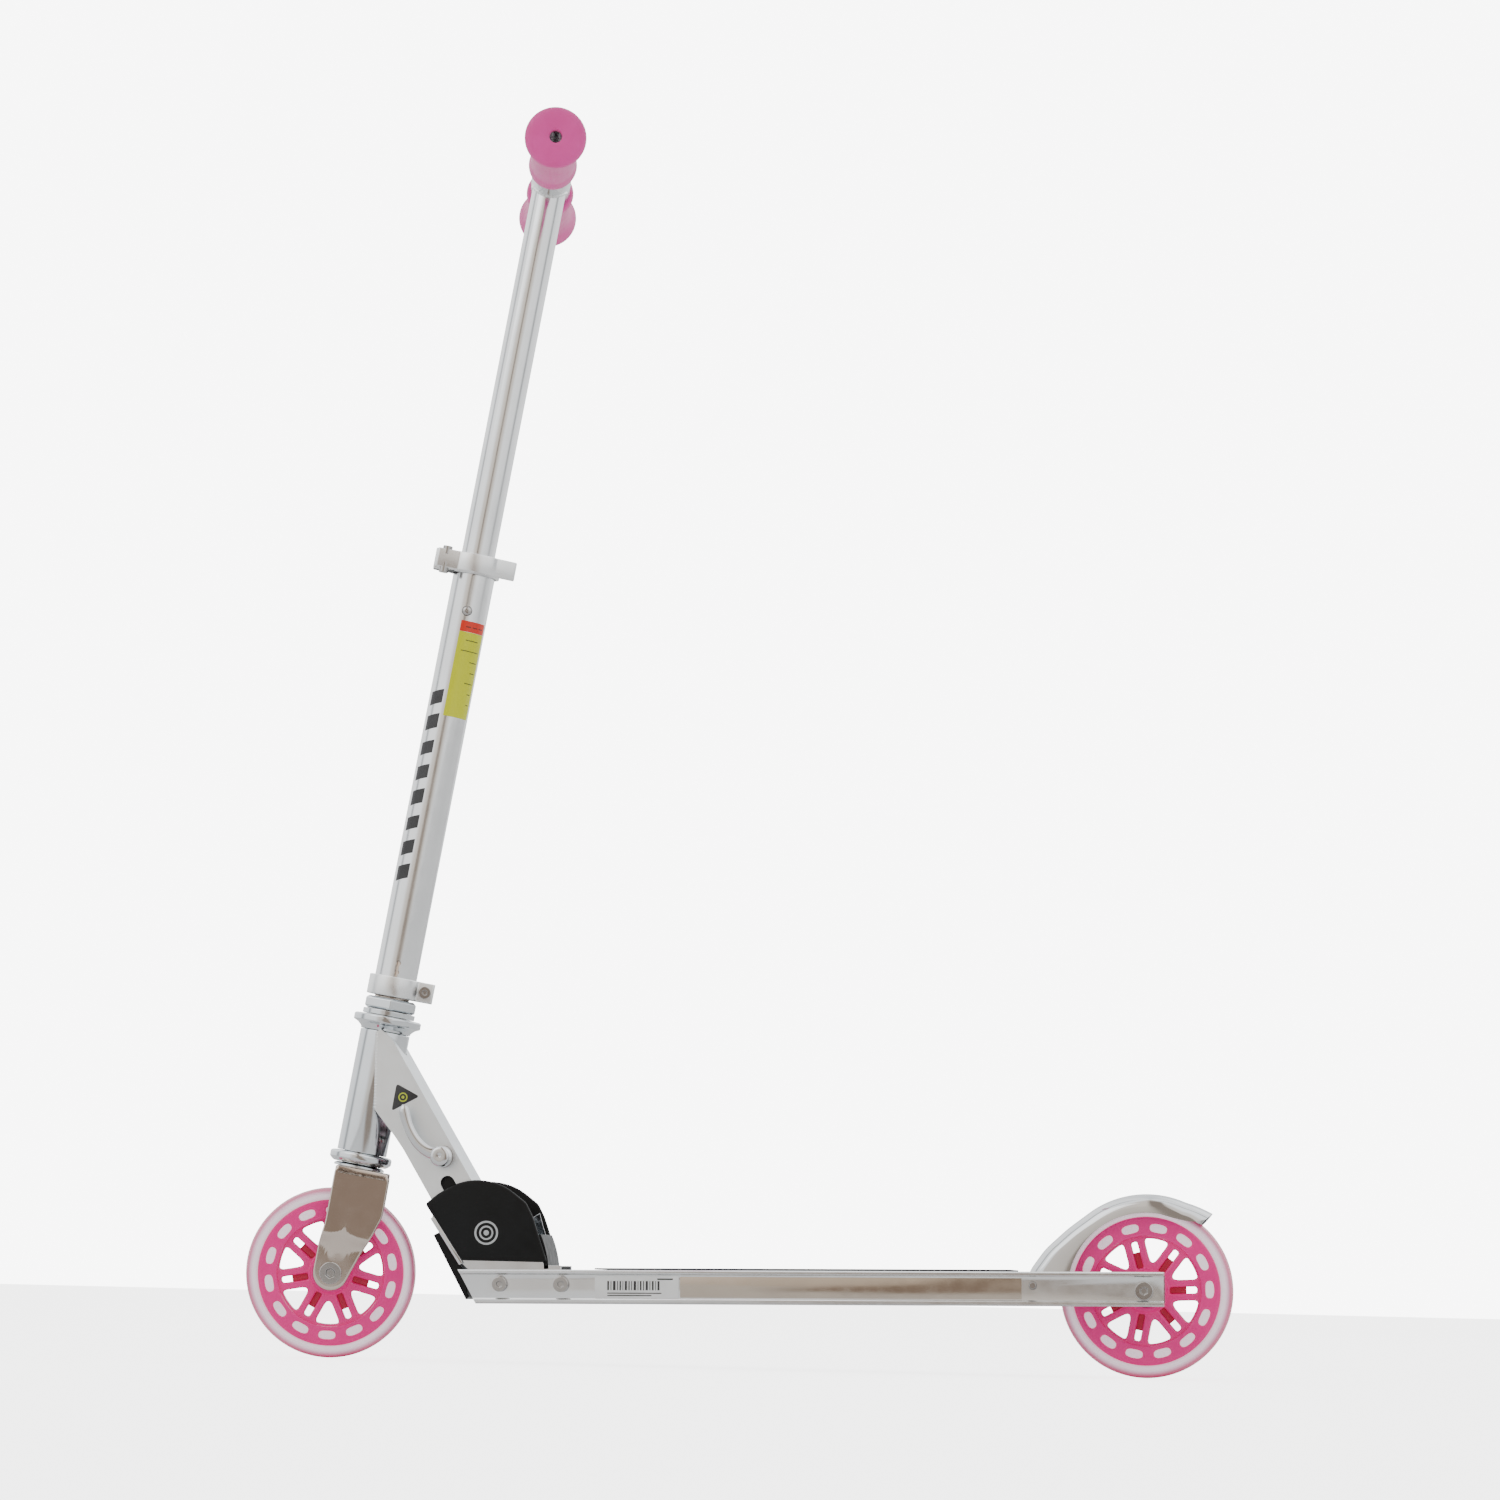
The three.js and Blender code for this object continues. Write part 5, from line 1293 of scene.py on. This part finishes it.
@dataclass
class Fork:
    """The pressed fork: two legs with a jog above the axle, a folded crown and the steerer."""

    inside: float = 15.2
    outside: float = 18.2
    jog: float = 1.7
    jog_low: float = 18.5
    jog_high: float = 26.5
    crown_low: float = 68.5
    crown_high: float = 74.6

    def build(self) -> None:
        """Makes the fork and dresses the front axle's pieces."""
        dress(self.body(), FORK_CHROME, "steering", "fork")
        dress(eased("front_axle_bolt", "front_axle_set", 0.7, 3), BOLT_STEEL, "steering")
        for side in ("near", "far"):
            dress(eased(f"front_spacer_{side}", f"front_{side}_spacer", 0.3), BOLT_STEEL, "steering")

    def leg_outline(self) -> Points:
        """One leg from the side: wide below the crown, waisted, and round about the axle."""
        axle, drop = -FORK_OFFSET, -AXLE_DROP
        corners = np.vstack([
            [[-16.2, self.crown_high - 1.0], [-15.8, 34], [-16.8, 26], [-17.6, 18], [-17.6, 8]],
            bow((axle, drop), 12.4, 180, 345, 18),
            [[13.6, 17], [18.4, 28], [23.3, 44], [22.9, self.crown_high - 1.0]],
        ])
        return resampled(softened(corners, 4.0, 5), 150)

    def body(self) -> bpy.types.Object:
        """Two plates pushed outwards above the jog by a smooth step, a crown plate and the steerer.

        The push is jog times 3s^2 - 2s^3, with s the height's place between the jog's two ends.
        """
        skin = Skin()
        outline = self.leg_outline()
        for side in (-1, 1):
            self.leg(skin, outline, side)
        wide = self.outside + self.jog
        crown = np.array([[-16, -wide], [22.6, -wide], [22.6, wide], [-16, wide]])
        skin.plate(softened(crown, 2.5, 4), self.crown_low, self.crown_high, 1.1, upright=True)
        steerer = np.array([[9.5, 60.0], [12.4, 60.0], [12.4, 226.5], [9.5, 226.5]])
        skin.upright(softened(steerer, 0.4, 2), 48)
        return solid("pressed_fork", skin, STEERING)

    def leg(self, skin: Skin, outline: Points, side: int) -> None:
        """Adds one leg: inner and outer faces as nested outlines so that the jog's slope has rows."""
        centre = np.array([-FORK_OFFSET + 4.0, 34.0])
        scales = np.array([0.0001, 0.15, 0.3, 0.45, 0.6, 0.72, 0.82, 0.9, 0.96, 1.0])
        ease = 0.9
        rows = []
        for face, order in ((self.outside, 1), (self.inside, -1)):
            inset = outline - outward(outline) * ease
            nested = [centre + (inset - centre) * scale for scale in scales]
            drop = [0.0] * len(nested)
            if face == self.outside:
                turn = np.linspace(0, math.pi / 2, 4)[1:]
                nested += [inset + outward(outline) * ease * math.sin(a) for a in turn]
                drop += [ease * (1 - math.cos(a)) for a in turn]
            level = [self.pushed(flat, face - d, side) for flat, d in zip(nested, drop)]
            rows += level[::order]
        skin.grid(np.stack(rows), caps=True)

    def pushed(self, flat: Points, height: float, side: int) -> Points:
        """Leg points at a height from the middle plane, pushed out above the jog."""
        s = np.clip((flat[:, 1] - self.jog_low) / (self.jog_high - self.jog_low), 0, 1)
        y = height + self.jog * (3 * s**2 - 2 * s**3)
        return np.stack([flat[:, 0], side * y, flat[:, 1]], -1)


# ---- neck ----
@dataclass
class Neck:
    """The neck with its sticker, and the fold lever that turns on it."""

    half: float = 22.0
    lever_at: tuple[float, float] = (6.5, 67.0)

    def build(self) -> None:
        """Makes the neck's pieces."""
        dress(eased("neck", "folding_neck", 1.1, 3), NECK_METAL, "neck")
        dress(self.lever(), FENDER_CHROME, "fold_lever", "fold_lever")
        dress(self.sticker(), DARK_PRINT, "neck")
        dress(self.sticker_mark(), LIME_FILM, "neck")
        dress(self.weld(), CLAMP_METAL, "neck")
        # A dark plate inside the neck, painted shade.
        dress(self.painted_shade_plate(), BLACK_COVER, "neck")
        dress(eased("lock_pin", "fold_lock_pin", 0.4), BOLT_STEEL, "lock_pin")
        for node, name in (("fold_lever_bolt", "lever_bolt"), ("fold_lever_washer", "lever_washer"),
                           ("fold_lever_spring", "lever_spring")):
            dress(eased(node, name, 0.3), BOLT_STEEL, "neck")

    def lever(self) -> bpy.types.Object:
        """A round knob and an arm: an ellipse swept along a curve from the knob to a rounded tip."""
        x, z = self.lever_at
        y = -self.half - 7.0
        profile = np.array([
            [3.3, y], [7.8, y], [7.6, y - 5.0], [6.8, y - 8.6], [5.2, y - 9.5], [0.02, y - 9.5],
            [0.02, y - 7.3], [3.3, y - 7.3],
        ])
        skin = Skin()
        skin.turned(softened(profile, 1.2, 4), 48)
        skin.points = [p + (x, 0, z) for p in skin.points]
        t = np.linspace(0, 1, 36)
        corners = np.array([[x - 1.0, z + 2.0], [-4.5, 77.0], [-6.0, 92.0], [1.5, 112.0]])
        bernstein = np.stack([(1 - t) ** 3, 3 * t * (1 - t) ** 2, 3 * t**2 * (1 - t), t**3], 1)
        flat = bernstein @ corners
        path = np.stack([flat[:, 0], np.full(len(t), y - 5.7), flat[:, 1]], -1)
        end = np.sqrt(np.clip(1 - np.clip((t - 0.93) / 0.07, 0, 0.995) ** 2, 0, 1))
        width = (4.2 - 1.0 * t + 0.5 * np.exp(-((t - 0.9) / 0.1) ** 2)) * end
        skin.swept(path, width, (2.7 - 0.5 * t) * end, 24)
        return solid("fold_release_lever", skin, NECK, weld=False)

    def painted_shade_plate(self) -> bpy.types.Object:
        """A dark plate inside the neck behind the lock pin's slot: painted shade where the neck's inside lies
        in shade.
        """
        skin = Skin()
        inside = -self.half + 3.4
        skin.plate(np.array([[-12.0, 28], [12, 28], [12, 56], [-12, 56]]), inside, inside + 1.0, 0.2)
        return solid("neck_slot_shade_plate", skin, NECK)

    def film(self, name: str, outline: Points, low: float) -> bpy.types.Object:
        """A thin film on the neck's near side."""
        skin = Skin()
        skin.plate(outline, -self.half - low - 0.18, -self.half - low, 0.05)
        return solid(name, skin, NECK)

    def sticker(self) -> bpy.types.Object:
        """A rounded triangle, its corners read from the neck's own length and width."""
        corners = np.array([[3.0, 128.7], [12.7, 112.6], [-9.7, 113.7]])
        return self.film("neck_sticker", softened(corners, 2.4, 6), 0.06)

    def sticker_mark(self) -> bpy.types.Object:
        """A plain ring round a dot, in place of a badge."""
        skin = Skin()
        low, high = -self.half - 0.5, -self.half - 0.26
        ring = np.array([[3.3, low], [3.3, high], [2.4, high], [2.4, low]])
        skin.turned(ring, 48)
        skin.turned(np.array([[1.1, low], [1.1, high], [0.001, high], [0.001, low]]), 24)
        skin.points = [p + (2.2, 0, 118.0) for p in skin.points]
        return solid("neck_sticker_ring", skin, NECK)

    def weld(self) -> bpy.types.Object:
        """Weld beads that close the gap between the neck's side plates and the head tube.

        Each is a rippled rod along a plate's front edge, just inside its outer face.
        """
        skin = Skin()
        edge = np.array([[8.6, 167.0], [-19.0, 120.5]])
        part = np.linspace(0, 1, 130)[:, None]
        flat = edge[0] + (edge[1] - edge[0]) * part
        ripple = 1.0 + 0.09 * np.sin(np.linspace(0, 150, 130))
        for side in (-1, 1):
            path = np.stack([flat[:, 0], np.full(len(flat), side * (self.half - 2.6)), flat[:, 1]], -1)
            skin.swept(path, 1.7 * ripple, 2.6 * ripple, 12)
        return solid("neck_weld", skin, NECK)


# ---- folding bracket ----
@dataclass
class Bracket:
    """The folding bracket on the deck with its moulded covers."""

    cover_in: float = 25.6
    cover_out: float = 28.6

    def build(self) -> None:
        """Makes the bracket, the covers, their mark and the guard."""
        dress(eased("fold_bracket", "folding_bracket", 0.4), BRACKET_CHROME, "deck_frame")
        dress(self.cover("near", -1), BLACK_COVER, "deck_frame", "bracket_cover_near")
        dress(self.cover("far", 1), BLACK_COVER, "deck_frame", "bracket_cover_far")
        dress(self.rear_shell(), BLACK_COVER, "deck_frame", "bracket_rear_cover")
        dress(eased("front_guard", "front_guard_plate", 0.5), BLACK_COVER, "deck_frame")
        dress(self.mark(), GREY_PRINT, "deck_frame")
        dress(self.edge(), FENDER_CHROME, "deck_frame")
        dress(eased("fold_pivot_bolt", "folding_pivot", 0.3), BOLT_STEEL, "deck_frame")

    def outline(self) -> Points:
        """The cover's outline about the pivot: a flat front, a round crown and a straight rear."""
        corners = np.vstack([
            [[-40.3, 27.4], [-30.5, 35.2], [-20.0, 41.2]], bow((-2.6, 2.6), 42.2, 106, 52, 14),
            [[31.6, 29.6], [36.6, 20.0], [47.6, -11.6], [-13.5, -11.6]],
        ])
        return softened(corners, 2.2, 4)

    def cover(self, name: str, side: int) -> bpy.types.Object:
        """One side cover: a plate with a well rounded outer edge."""
        low, high = sorted((side * self.cover_in, side * self.cover_out))
        skin = Skin()
        skin.plate(resampled(self.outline(), 220), low, high, 1.3, steps=5)
        return solid(f"{name}_bracket_cover", skin, BRACKET)

    def rear_shell(self) -> bpy.types.Object:
        """The shell between the covers behind the neck: a curved strip.

        Its section is an arc of 3 mm wall, and its half width is the same all the way, just inside the
        covers.
        """
        a = np.radians(np.linspace(24, 5, 30))
        half = np.full(30, self.cover_in - 0.3)
        centre = np.array([-26.0, -22.6])
        rows = []
        for radius, y in ((74.6, -1), (74.9, 0), (74.6, 1), (71.4, 1), (71.4, -1)):
            x, z = centre[:, None] + radius * np.stack([np.cos(a), np.sin(a)])
            rows.append(np.stack([x, y * half, z], -1))
        skin = Skin()
        skin.grid(np.stack(rows, 1), caps=True)
        return solid("rear_bracket_shell", skin, BRACKET)

    def edge(self) -> bpy.types.Object:
        """The plates' bright front edge that shows before the cover."""
        line = np.array([[-36.2, 17.2], [-33.6, 18.6], [-12.0, -13.4], [-14.6, -15.0]])
        skin = Skin()
        skin.plate(softened(line, 0.6, 3), -self.cover_out - 0.1, -self.cover_out + 1.0, 0.3)
        return solid("bracket_front_edge", skin, BRACKET)

    def mark(self) -> bpy.types.Object:
        """Two plain rings and a dot, moulded on the near cover in place of a badge."""
        skin = Skin()
        low, high = -self.cover_out - 0.25, -self.cover_out + 0.1
        for outer, inner in ((8.4, 7.0), (5.0, 3.8), (1.9, 0.001)):
            skin.turned(np.array([[outer, low], [outer, high], [inner, high], [inner, low]]), 56)
        skin.points = [p + (4.0, 0, 8.0) for p in skin.points]
        return solid("cover_ring_mark", skin, BRACKET)


# ---- deck ----
@dataclass
class Deck:
    """The deck extrusion with its tape, side films and bolts; the brownish film is painted reflection."""

    half: float = 48.0
    groove: float = 47.0

    def build(self) -> None:
        """Makes the deck's pieces."""
        dress(eased("deck", "deck_extrusion", 0.5, 3), DECK_METAL, "deck_frame")
        dress(eased("grip_tape", "deck_grip_tape", 0.2), Grit(), "deck_frame")
        for node, name in (("front_deck_bolt", "front_deck_screw"), ("middle_deck_bolt", "middle_deck_screw"),
                           ("rear_axle_bolt", "rear_axle_set"), ("brake_pivot_pin", "brake_pivot_rod")):
            dress(eased(node, name, 0.5, 3), BOLT_STEEL, "deck_frame")
        for side in ("near", "far"):
            dress(eased(f"rear_spacer_{side}", f"rear_{side}_spacer", 0.3), BOLT_STEEL, "deck_frame")
        # The brownish strip is painted reflection; the pale film beside it is the sticker.
        dress(self.film("side_reflection_strip", -321.0, -84.0, -6.0, 8.4, 0.05), PAINTED_REFLECTION_STRIP, "deck_frame")
        dress(self.film("side_sticker", -380.8, -322.0, -6.6, 8.8, 0.05), PALE_FILM, "deck_frame")
        dress(self.sticker_lines(), DARK_PRINT, "deck_frame")
        dress(self.spring(), BOLT_STEEL, "deck_frame", "brake_spring")

    def film(self, name: str, x0: float, x1: float, z0: float, z1: float, lift: float) -> bpy.types.Object:
        """A thin film in the groove of the deck's near side."""
        skin = Skin()
        corners = np.array([[x0, z0], [x1, z0], [x1, z1], [x0, z1]])
        skin.plate(softened(corners, 0.6, 3), -self.groove - lift - 0.15, -self.groove - lift, 0.04)
        return solid(name, skin, DECK)

    def sticker_lines(self) -> bpy.types.Object:
        """Plain bars and rules on the sticker, in place of words."""
        skin = Skin()
        y = -self.groove - 0.2
        widths = np.array([
            1.2, 0.6, 1.8, 0.6, 1.0, 0.5, 1.5, 0.8, 0.6, 1.7, 0.5, 1.1, 0.7, 1.6, 0.6, 1.2, 0.5, 1.4,
        ])
        starts = -372.0 + np.concatenate([[0], np.cumsum(widths + 1.1)[:-1]])
        bars = [(x, x + w, -1.0, 5.4) for x, w in zip(starts, widths)]
        bars += [(-372.0, -334.0, -3.4, -2.7), (-372.0, -341.0, -5.0, -4.3), (-337.0, -326.0, 6.2, 7.2)]
        for x0, x1, z0, z1 in bars:
            skin.plate(np.array([[x0, z0], [x1, z0], [x1, z1], [x0, z1]]), y - 0.06, y, 0.01)
        return solid("side_sticker_bars", skin, DECK)

    def spring(self) -> bpy.types.Object:
        """The brake's torsion spring: a round wire wound on a helix about the pivot pin."""
        turns, wire, radius = 7, 0.75, 3.7
        t = np.linspace(0, turns * 2 * math.pi, turns * 28)
        along = np.linspace(-8.2, 8.2, len(t))
        path = np.stack([radius * np.cos(t) - 76.4, along, radius * np.sin(t) + 3.4], -1)
        skin = Skin()
        skin.swept(path, wire, wire, 10)
        return solid("brake_torsion_spring", skin, DECK)


@dataclass
class Fender:
    """The fender brake: a channel whose section is carried along the crown's arc."""

    radius: float = 66.4
    skirt: float = 54.0
    half: float = 20.0
    wall: float = 2.0
    round_edge: float = 11.0

    def build(self) -> None:
        """Makes the fender."""
        dress(self.channel(), FENDER_CHROME, "brake", "brake_fender")

    def channel(self) -> bpy.types.Object:
        """Each section is a rounded U between the crown's point and the skirt's point.

        With d the direction from skirt to crown, the U's legs run along d at plus and minus the
        half width, and its web lies at the crown.
        """
        crown = np.vstack([[[-82, -2], [-82, 6], [-80.6, 13.6], [-69.8, 28.5], [-53.8, 42.9]],
                           bow((0, 0), self.radius, 128, 66, 30), [[36.0, 57.6], [45.3, 53.0]]])
        low = np.vstack([[[-53, -2], [-53, 4]], bow((0, 0), self.skirt, 168, 78, 40),
                         [[21.0, 49.8], [33.0, 47.4], [42.0, 49.6]]])
        count = 90
        crown = resampled(softened(crown, 5, 4, closed=False), count, closed=False)
        low = resampled(softened(low, 5, 4, closed=False), count, closed=False)
        depth = np.linalg.norm(crown - low, axis=1)
        up = (crown - low) / depth[:, None]
        section = self.section()
        u = section[:, 0]
        v = section[:, 1]
        offset = np.where(v[None] > 0.5, depth[:, None] - (1 - v[None]) * 20, v[None] * 0.0)
        flat = low[:, None] + up[:, None] * offset[..., None]
        rows = np.stack([flat[..., 0], np.broadcast_to(u, flat.shape[:2]), flat[..., 1]], -1)
        skin = Skin()
        skin.grid(rows, caps=True)
        return solid("sprung_fender", skin, DECK)

    def section(self) -> Points:
        """The U's outline: across, and 1 less a twentieth of the depth in millimetres below the crown."""
        e, w, h = self.round_edge, self.wall, self.half
        arc_out = bow((-h + e, -e), e, 180, 90, 10)
        arc_in = bow((-h + e, -e), e - w, 90, 180, 10)
        crown = np.linspace(-h + e, h - e, 9)[1:-1]
        rise = 0.9 * (1 - (crown / (h - e)) ** 2)
        top = np.stack([crown, rise], 1)
        under = np.stack([crown, rise - w], 1)
        right_out, right_in = arc_out * (-1, 1), arc_in * (-1, 1)
        outer = [[[-h, -99]], arc_out, top, right_out[::-1], [[h, -99]]]
        inner = [[[h - w, -99]], right_in[::-1], under[::-1], arc_in, [[-h + w, -99]]]
        outline = np.vstack([*outer, *inner])
        v = np.where(outline[:, 1] < -50, 0.0, 1 + outline[:, 1] / 20)
        return np.stack([outline[:, 0], v], 1)


# ---- studio ----
@dataclass
class Studio:
    """A pale floor, soft lights and the camera."""

    camera_at: tuple[float, float, float] = (0.42785, -3.51016, 0.060)
    yaw: float = 6.92
    pitch: float = 6.06
    roll: float = 1.33
    focal: float = 5009.29 / 1500
    front_shade: tuple[float, float, float] = (124, 113, 104)
    front_heading: float = 0.055
    front_edge: tuple[float, float] = (0.15, 0.25)
    front_start: tuple[float, float] = (0.5, 0.8)
    strip_rise: tuple[float, float] = (0.03, 0.12)
    strip_ratio: float = 2.6
    horizon_shade: float = 0.66
    glow: float = 2.1
    fill: float = 1.15
    backdrop: float = 8.0
    floor_glow: float = 3.6

    def build(self) -> None:
        """Makes the camera, the floor, the lights and the surroundings."""
        self.camera()
        self.floor()
        self.lights()
        self.surroundings()

    def camera(self) -> None:
        """A camera turned by yaw about the vertical, then up by pitch, then by roll about its view."""
        yaw, pitch, roll = (math.radians(v) for v in (self.yaw, self.pitch, self.roll))
        ahead = Vector((-math.sin(yaw) * math.cos(pitch), math.cos(yaw) * math.cos(pitch), math.sin(pitch)))
        right = Vector((math.cos(yaw), math.sin(yaw), 0))
        up = right.cross(ahead)
        turned = right * math.cos(roll) + up * math.sin(roll)
        raised = up * math.cos(roll) - right * math.sin(roll)
        data = bpy.data.cameras.new("camera")
        data.sensor_width = 36
        data.lens = self.focal * 36
        data.clip_end = 60
        camera = bpy.data.objects.new("camera", data)
        basis = Matrix((turned, raised, -ahead)).transposed().to_4x4()
        camera.matrix_world = Matrix.Translation(self.camera_at) @ basis
        bpy.context.scene.collection.objects.link(camera)
        bpy.context.scene.camera = camera

    def floor(self) -> None:
        """A wide pale floor, a little uneven in tone."""
        mesh = bpy.data.meshes.new("floor")
        reach = 12.0
        below = -0.0004
        square = ((-reach, -reach), (reach, -reach), (reach, reach), (-reach, reach))
        corners = [(x, y, below) for x, y in square]
        mesh.from_pydata(corners, [], [(0, 1, 2, 3)])
        floor = bpy.data.objects.new("floor", mesh)
        bpy.context.scene.collection.objects.link(floor)
        n = Nodes("pale floor")
        patches = n.noise(n.coordinates((1, 1, 1)), 0.8, 2)
        shades = [(0.3, (0.86, 0.86, 0.86)), (0.7, (0.9, 0.9, 0.9))]
        n.link(n.ramp(patches, shades), n.shader.inputs["Base Color"])
        n.shader.inputs["Roughness"].default_value = 0.9
        n.shader.inputs["Specular IOR Level"].default_value = 0.1
        n.shader.inputs["Emission Color"].default_value = (1, 1, 1, 1)
        seen = n.new("ShaderNodeLightPath").outputs
        glow = n.maths("MULTIPLY", seen["Is Camera Ray"], self.floor_glow)
        n.link(glow, n.shader.inputs["Emission Strength"])
        self.shaded_side(n, seen["Is Glossy Ray"])
        mesh.materials.append(n.material)

    def shaded_side(self, n: Nodes, glossy: Socket) -> None:
        """Polished metal sees the floor in front of the scooter in the same shade as the room's front."""
        place = n.new("ShaderNodeTexCoord").outputs["Object"]
        heading = n.new("ShaderNodeVectorMath", operation="NORMALIZE")
        away = n.new("ShaderNodeVectorMath", operation="LENGTH")
        n.link(place, heading.inputs[0])
        n.link(place, away.inputs[0])
        right, ahead, _ = n.parts(heading.outputs["Vector"])
        beyond = n.spread(away.outputs["Value"], 0, 1, *self.front_start)
        front = n.maths("MULTIPLY", self.dark_front(n, right, ahead), beyond)
        shade = n.new("ShaderNodeEmission")
        shade.inputs["Color"].default_value = (*srgb(*self.front_shade), 1)
        shade.inputs["Strength"].default_value = self.glow
        mix = n.new("ShaderNodeMixShader")
        n.link(n.maths("MULTIPLY", front, glossy), mix.inputs[0])
        n.link(n.shader.outputs["BSDF"], mix.inputs[1])
        n.link(shade.outputs["Emission"], mix.inputs[2])
        n.link(mix.outputs["Shader"], n.tree.nodes["Material Output"].inputs["Surface"])

    def lights(self) -> None:
        """Two wide soft lights, high in front to the left and behind to the right."""
        lamps = (("key", (-1.6, -2.2, 2.6), 16.0, 2.4), ("back", (1.8, 2.4, 2.4), 10.0, 2.6))
        for name, at, power, size in lamps:
            data = bpy.data.lights.new(name, "AREA")
            data.energy = power
            data.shape = "SQUARE"
            data.size = size
            light = bpy.data.objects.new(name, data)
            light.location = at
            light.rotation_euler = (Vector((0, 0, 0.35)) - Vector(at)).to_track_quat("-Z", "Y").to_euler()
            bpy.context.scene.collection.objects.link(light)

    def dark_front(self, n: Tree, right: Socket, ahead: Socket, up: Socket | None = None) -> Socket:
        """How far a heading lies in the shaded front of the room: wide at the horizon, a narrow strip above.

        Args:
            n: The nodes to add to.
            right: The heading's X.
            ahead: The heading's Y, below nought towards the front.
            up: The heading's Z, or None at the horizon.

        Returns:
            One in the front, nought elsewhere.
        """
        aside = n.maths("ABSOLUTE", n.maths("SUBTRACT", right, self.front_heading))
        if up:
            aside = n.maths("MULTIPLY", aside, n.spread(up, 1.0, self.strip_ratio, *self.strip_rise))
        near_middle = n.spread(aside, 1.0, 0.0, *self.front_edge)
        return n.maths("MULTIPLY", near_middle, n.spread(ahead, 1.0, 0.0, -0.3, 0.0))

    def flats(self) -> list[tuple[float, tuple[float, float, float]]]:
        """The room's shades by the share of a full turn, from the front wall round and back to it."""
        front, beside, white = srgb(206, 196, 184), srgb(214, 206, 198), srgb(255, 255, 255)
        near, far, pale = srgb(252, 252, 252), srgb(250, 250, 250), srgb(246, 247, 248)
        right_flat, back_flat, left_flat = srgb(150, 152, 154), srgb(214, 217, 219), srgb(140, 142, 144)
        return [
            (0.0, front), (0.05, beside), (0.09, near), (0.20, far), (0.235, right_flat), (0.27, pale),
            (0.40, white), (0.5, back_flat), (0.60, white), (0.73, pale),
            (0.765, left_flat), (0.80, far), (0.91, near), (0.95, beside), (1.0, front),
        ]

    def surroundings(self) -> None:
        """White all round, with tall grey flats that polished metal picks up as upright bands.

        The shade is read from the ray's heading, and falls a little towards the horizon.
        """
        world = bpy.data.worlds.new("studio room")
        world.use_nodes = True
        bpy.context.scene.world = world
        n = Tree(world.node_tree)
        right, ahead, up = n.parts(n.new("ShaderNodeTexCoord").outputs["Generated"])
        turn = n.spread(n.maths("ARCTAN2", right, ahead), 0.0, 1.0, -math.pi, math.pi)
        walls = n.scaled(n.ramp(turn, self.flats()), n.spread(up, self.horizon_shade, 1.0, -0.1, 0.5))
        room = n.mixed(self.dark_front(n, right, ahead, up), walls, srgb(*self.front_shade))
        seen = n.new("ShaderNodeLightPath").outputs
        lit = n.scaled(room, n.spread(seen["Is Diffuse Ray"], self.glow, self.fill, 0.0, 1.0))
        shown = n.mixed(seen["Is Camera Ray"], lit, (self.backdrop,) * 3)
        n.link(shown, n.tree.nodes["Background"].inputs["Color"])


def main() -> None:
    """Builds the scooter's sub-assemblies in order, then the studio."""
    logging.basicConfig(level=logging.INFO)
    front_place = STEERING.at(-FORK_OFFSET, 0, -AXLE_DROP)
    wheels = [
        Wheel("front", "front_wheel", front_place, spoke_start=148.2, window_start=-5.3),
        Wheel("rear", "rear_wheel", Placement(DECK.origin), spoke_start=2.7, window_start=2.7),
    ]
    for part in (*wheels, Handlebar(), Stem(), Head(), Fork(), Neck(), Bracket(), Deck(), Fender()):
        part.build()
        LOG.info("built %s", type(part).__name__)
    for end, body in (("front", "front_wheel"), ("rear", "rear_wheel")):
        for node in (f"{end}_bearing_near", f"{end}_bearing_far", f"{end}_spacer"):
            dress(eased(node, f"{node}_race", 0.3), BOLT_STEEL, body)
    Studio().build()


if __name__ == "__main__":
    main()
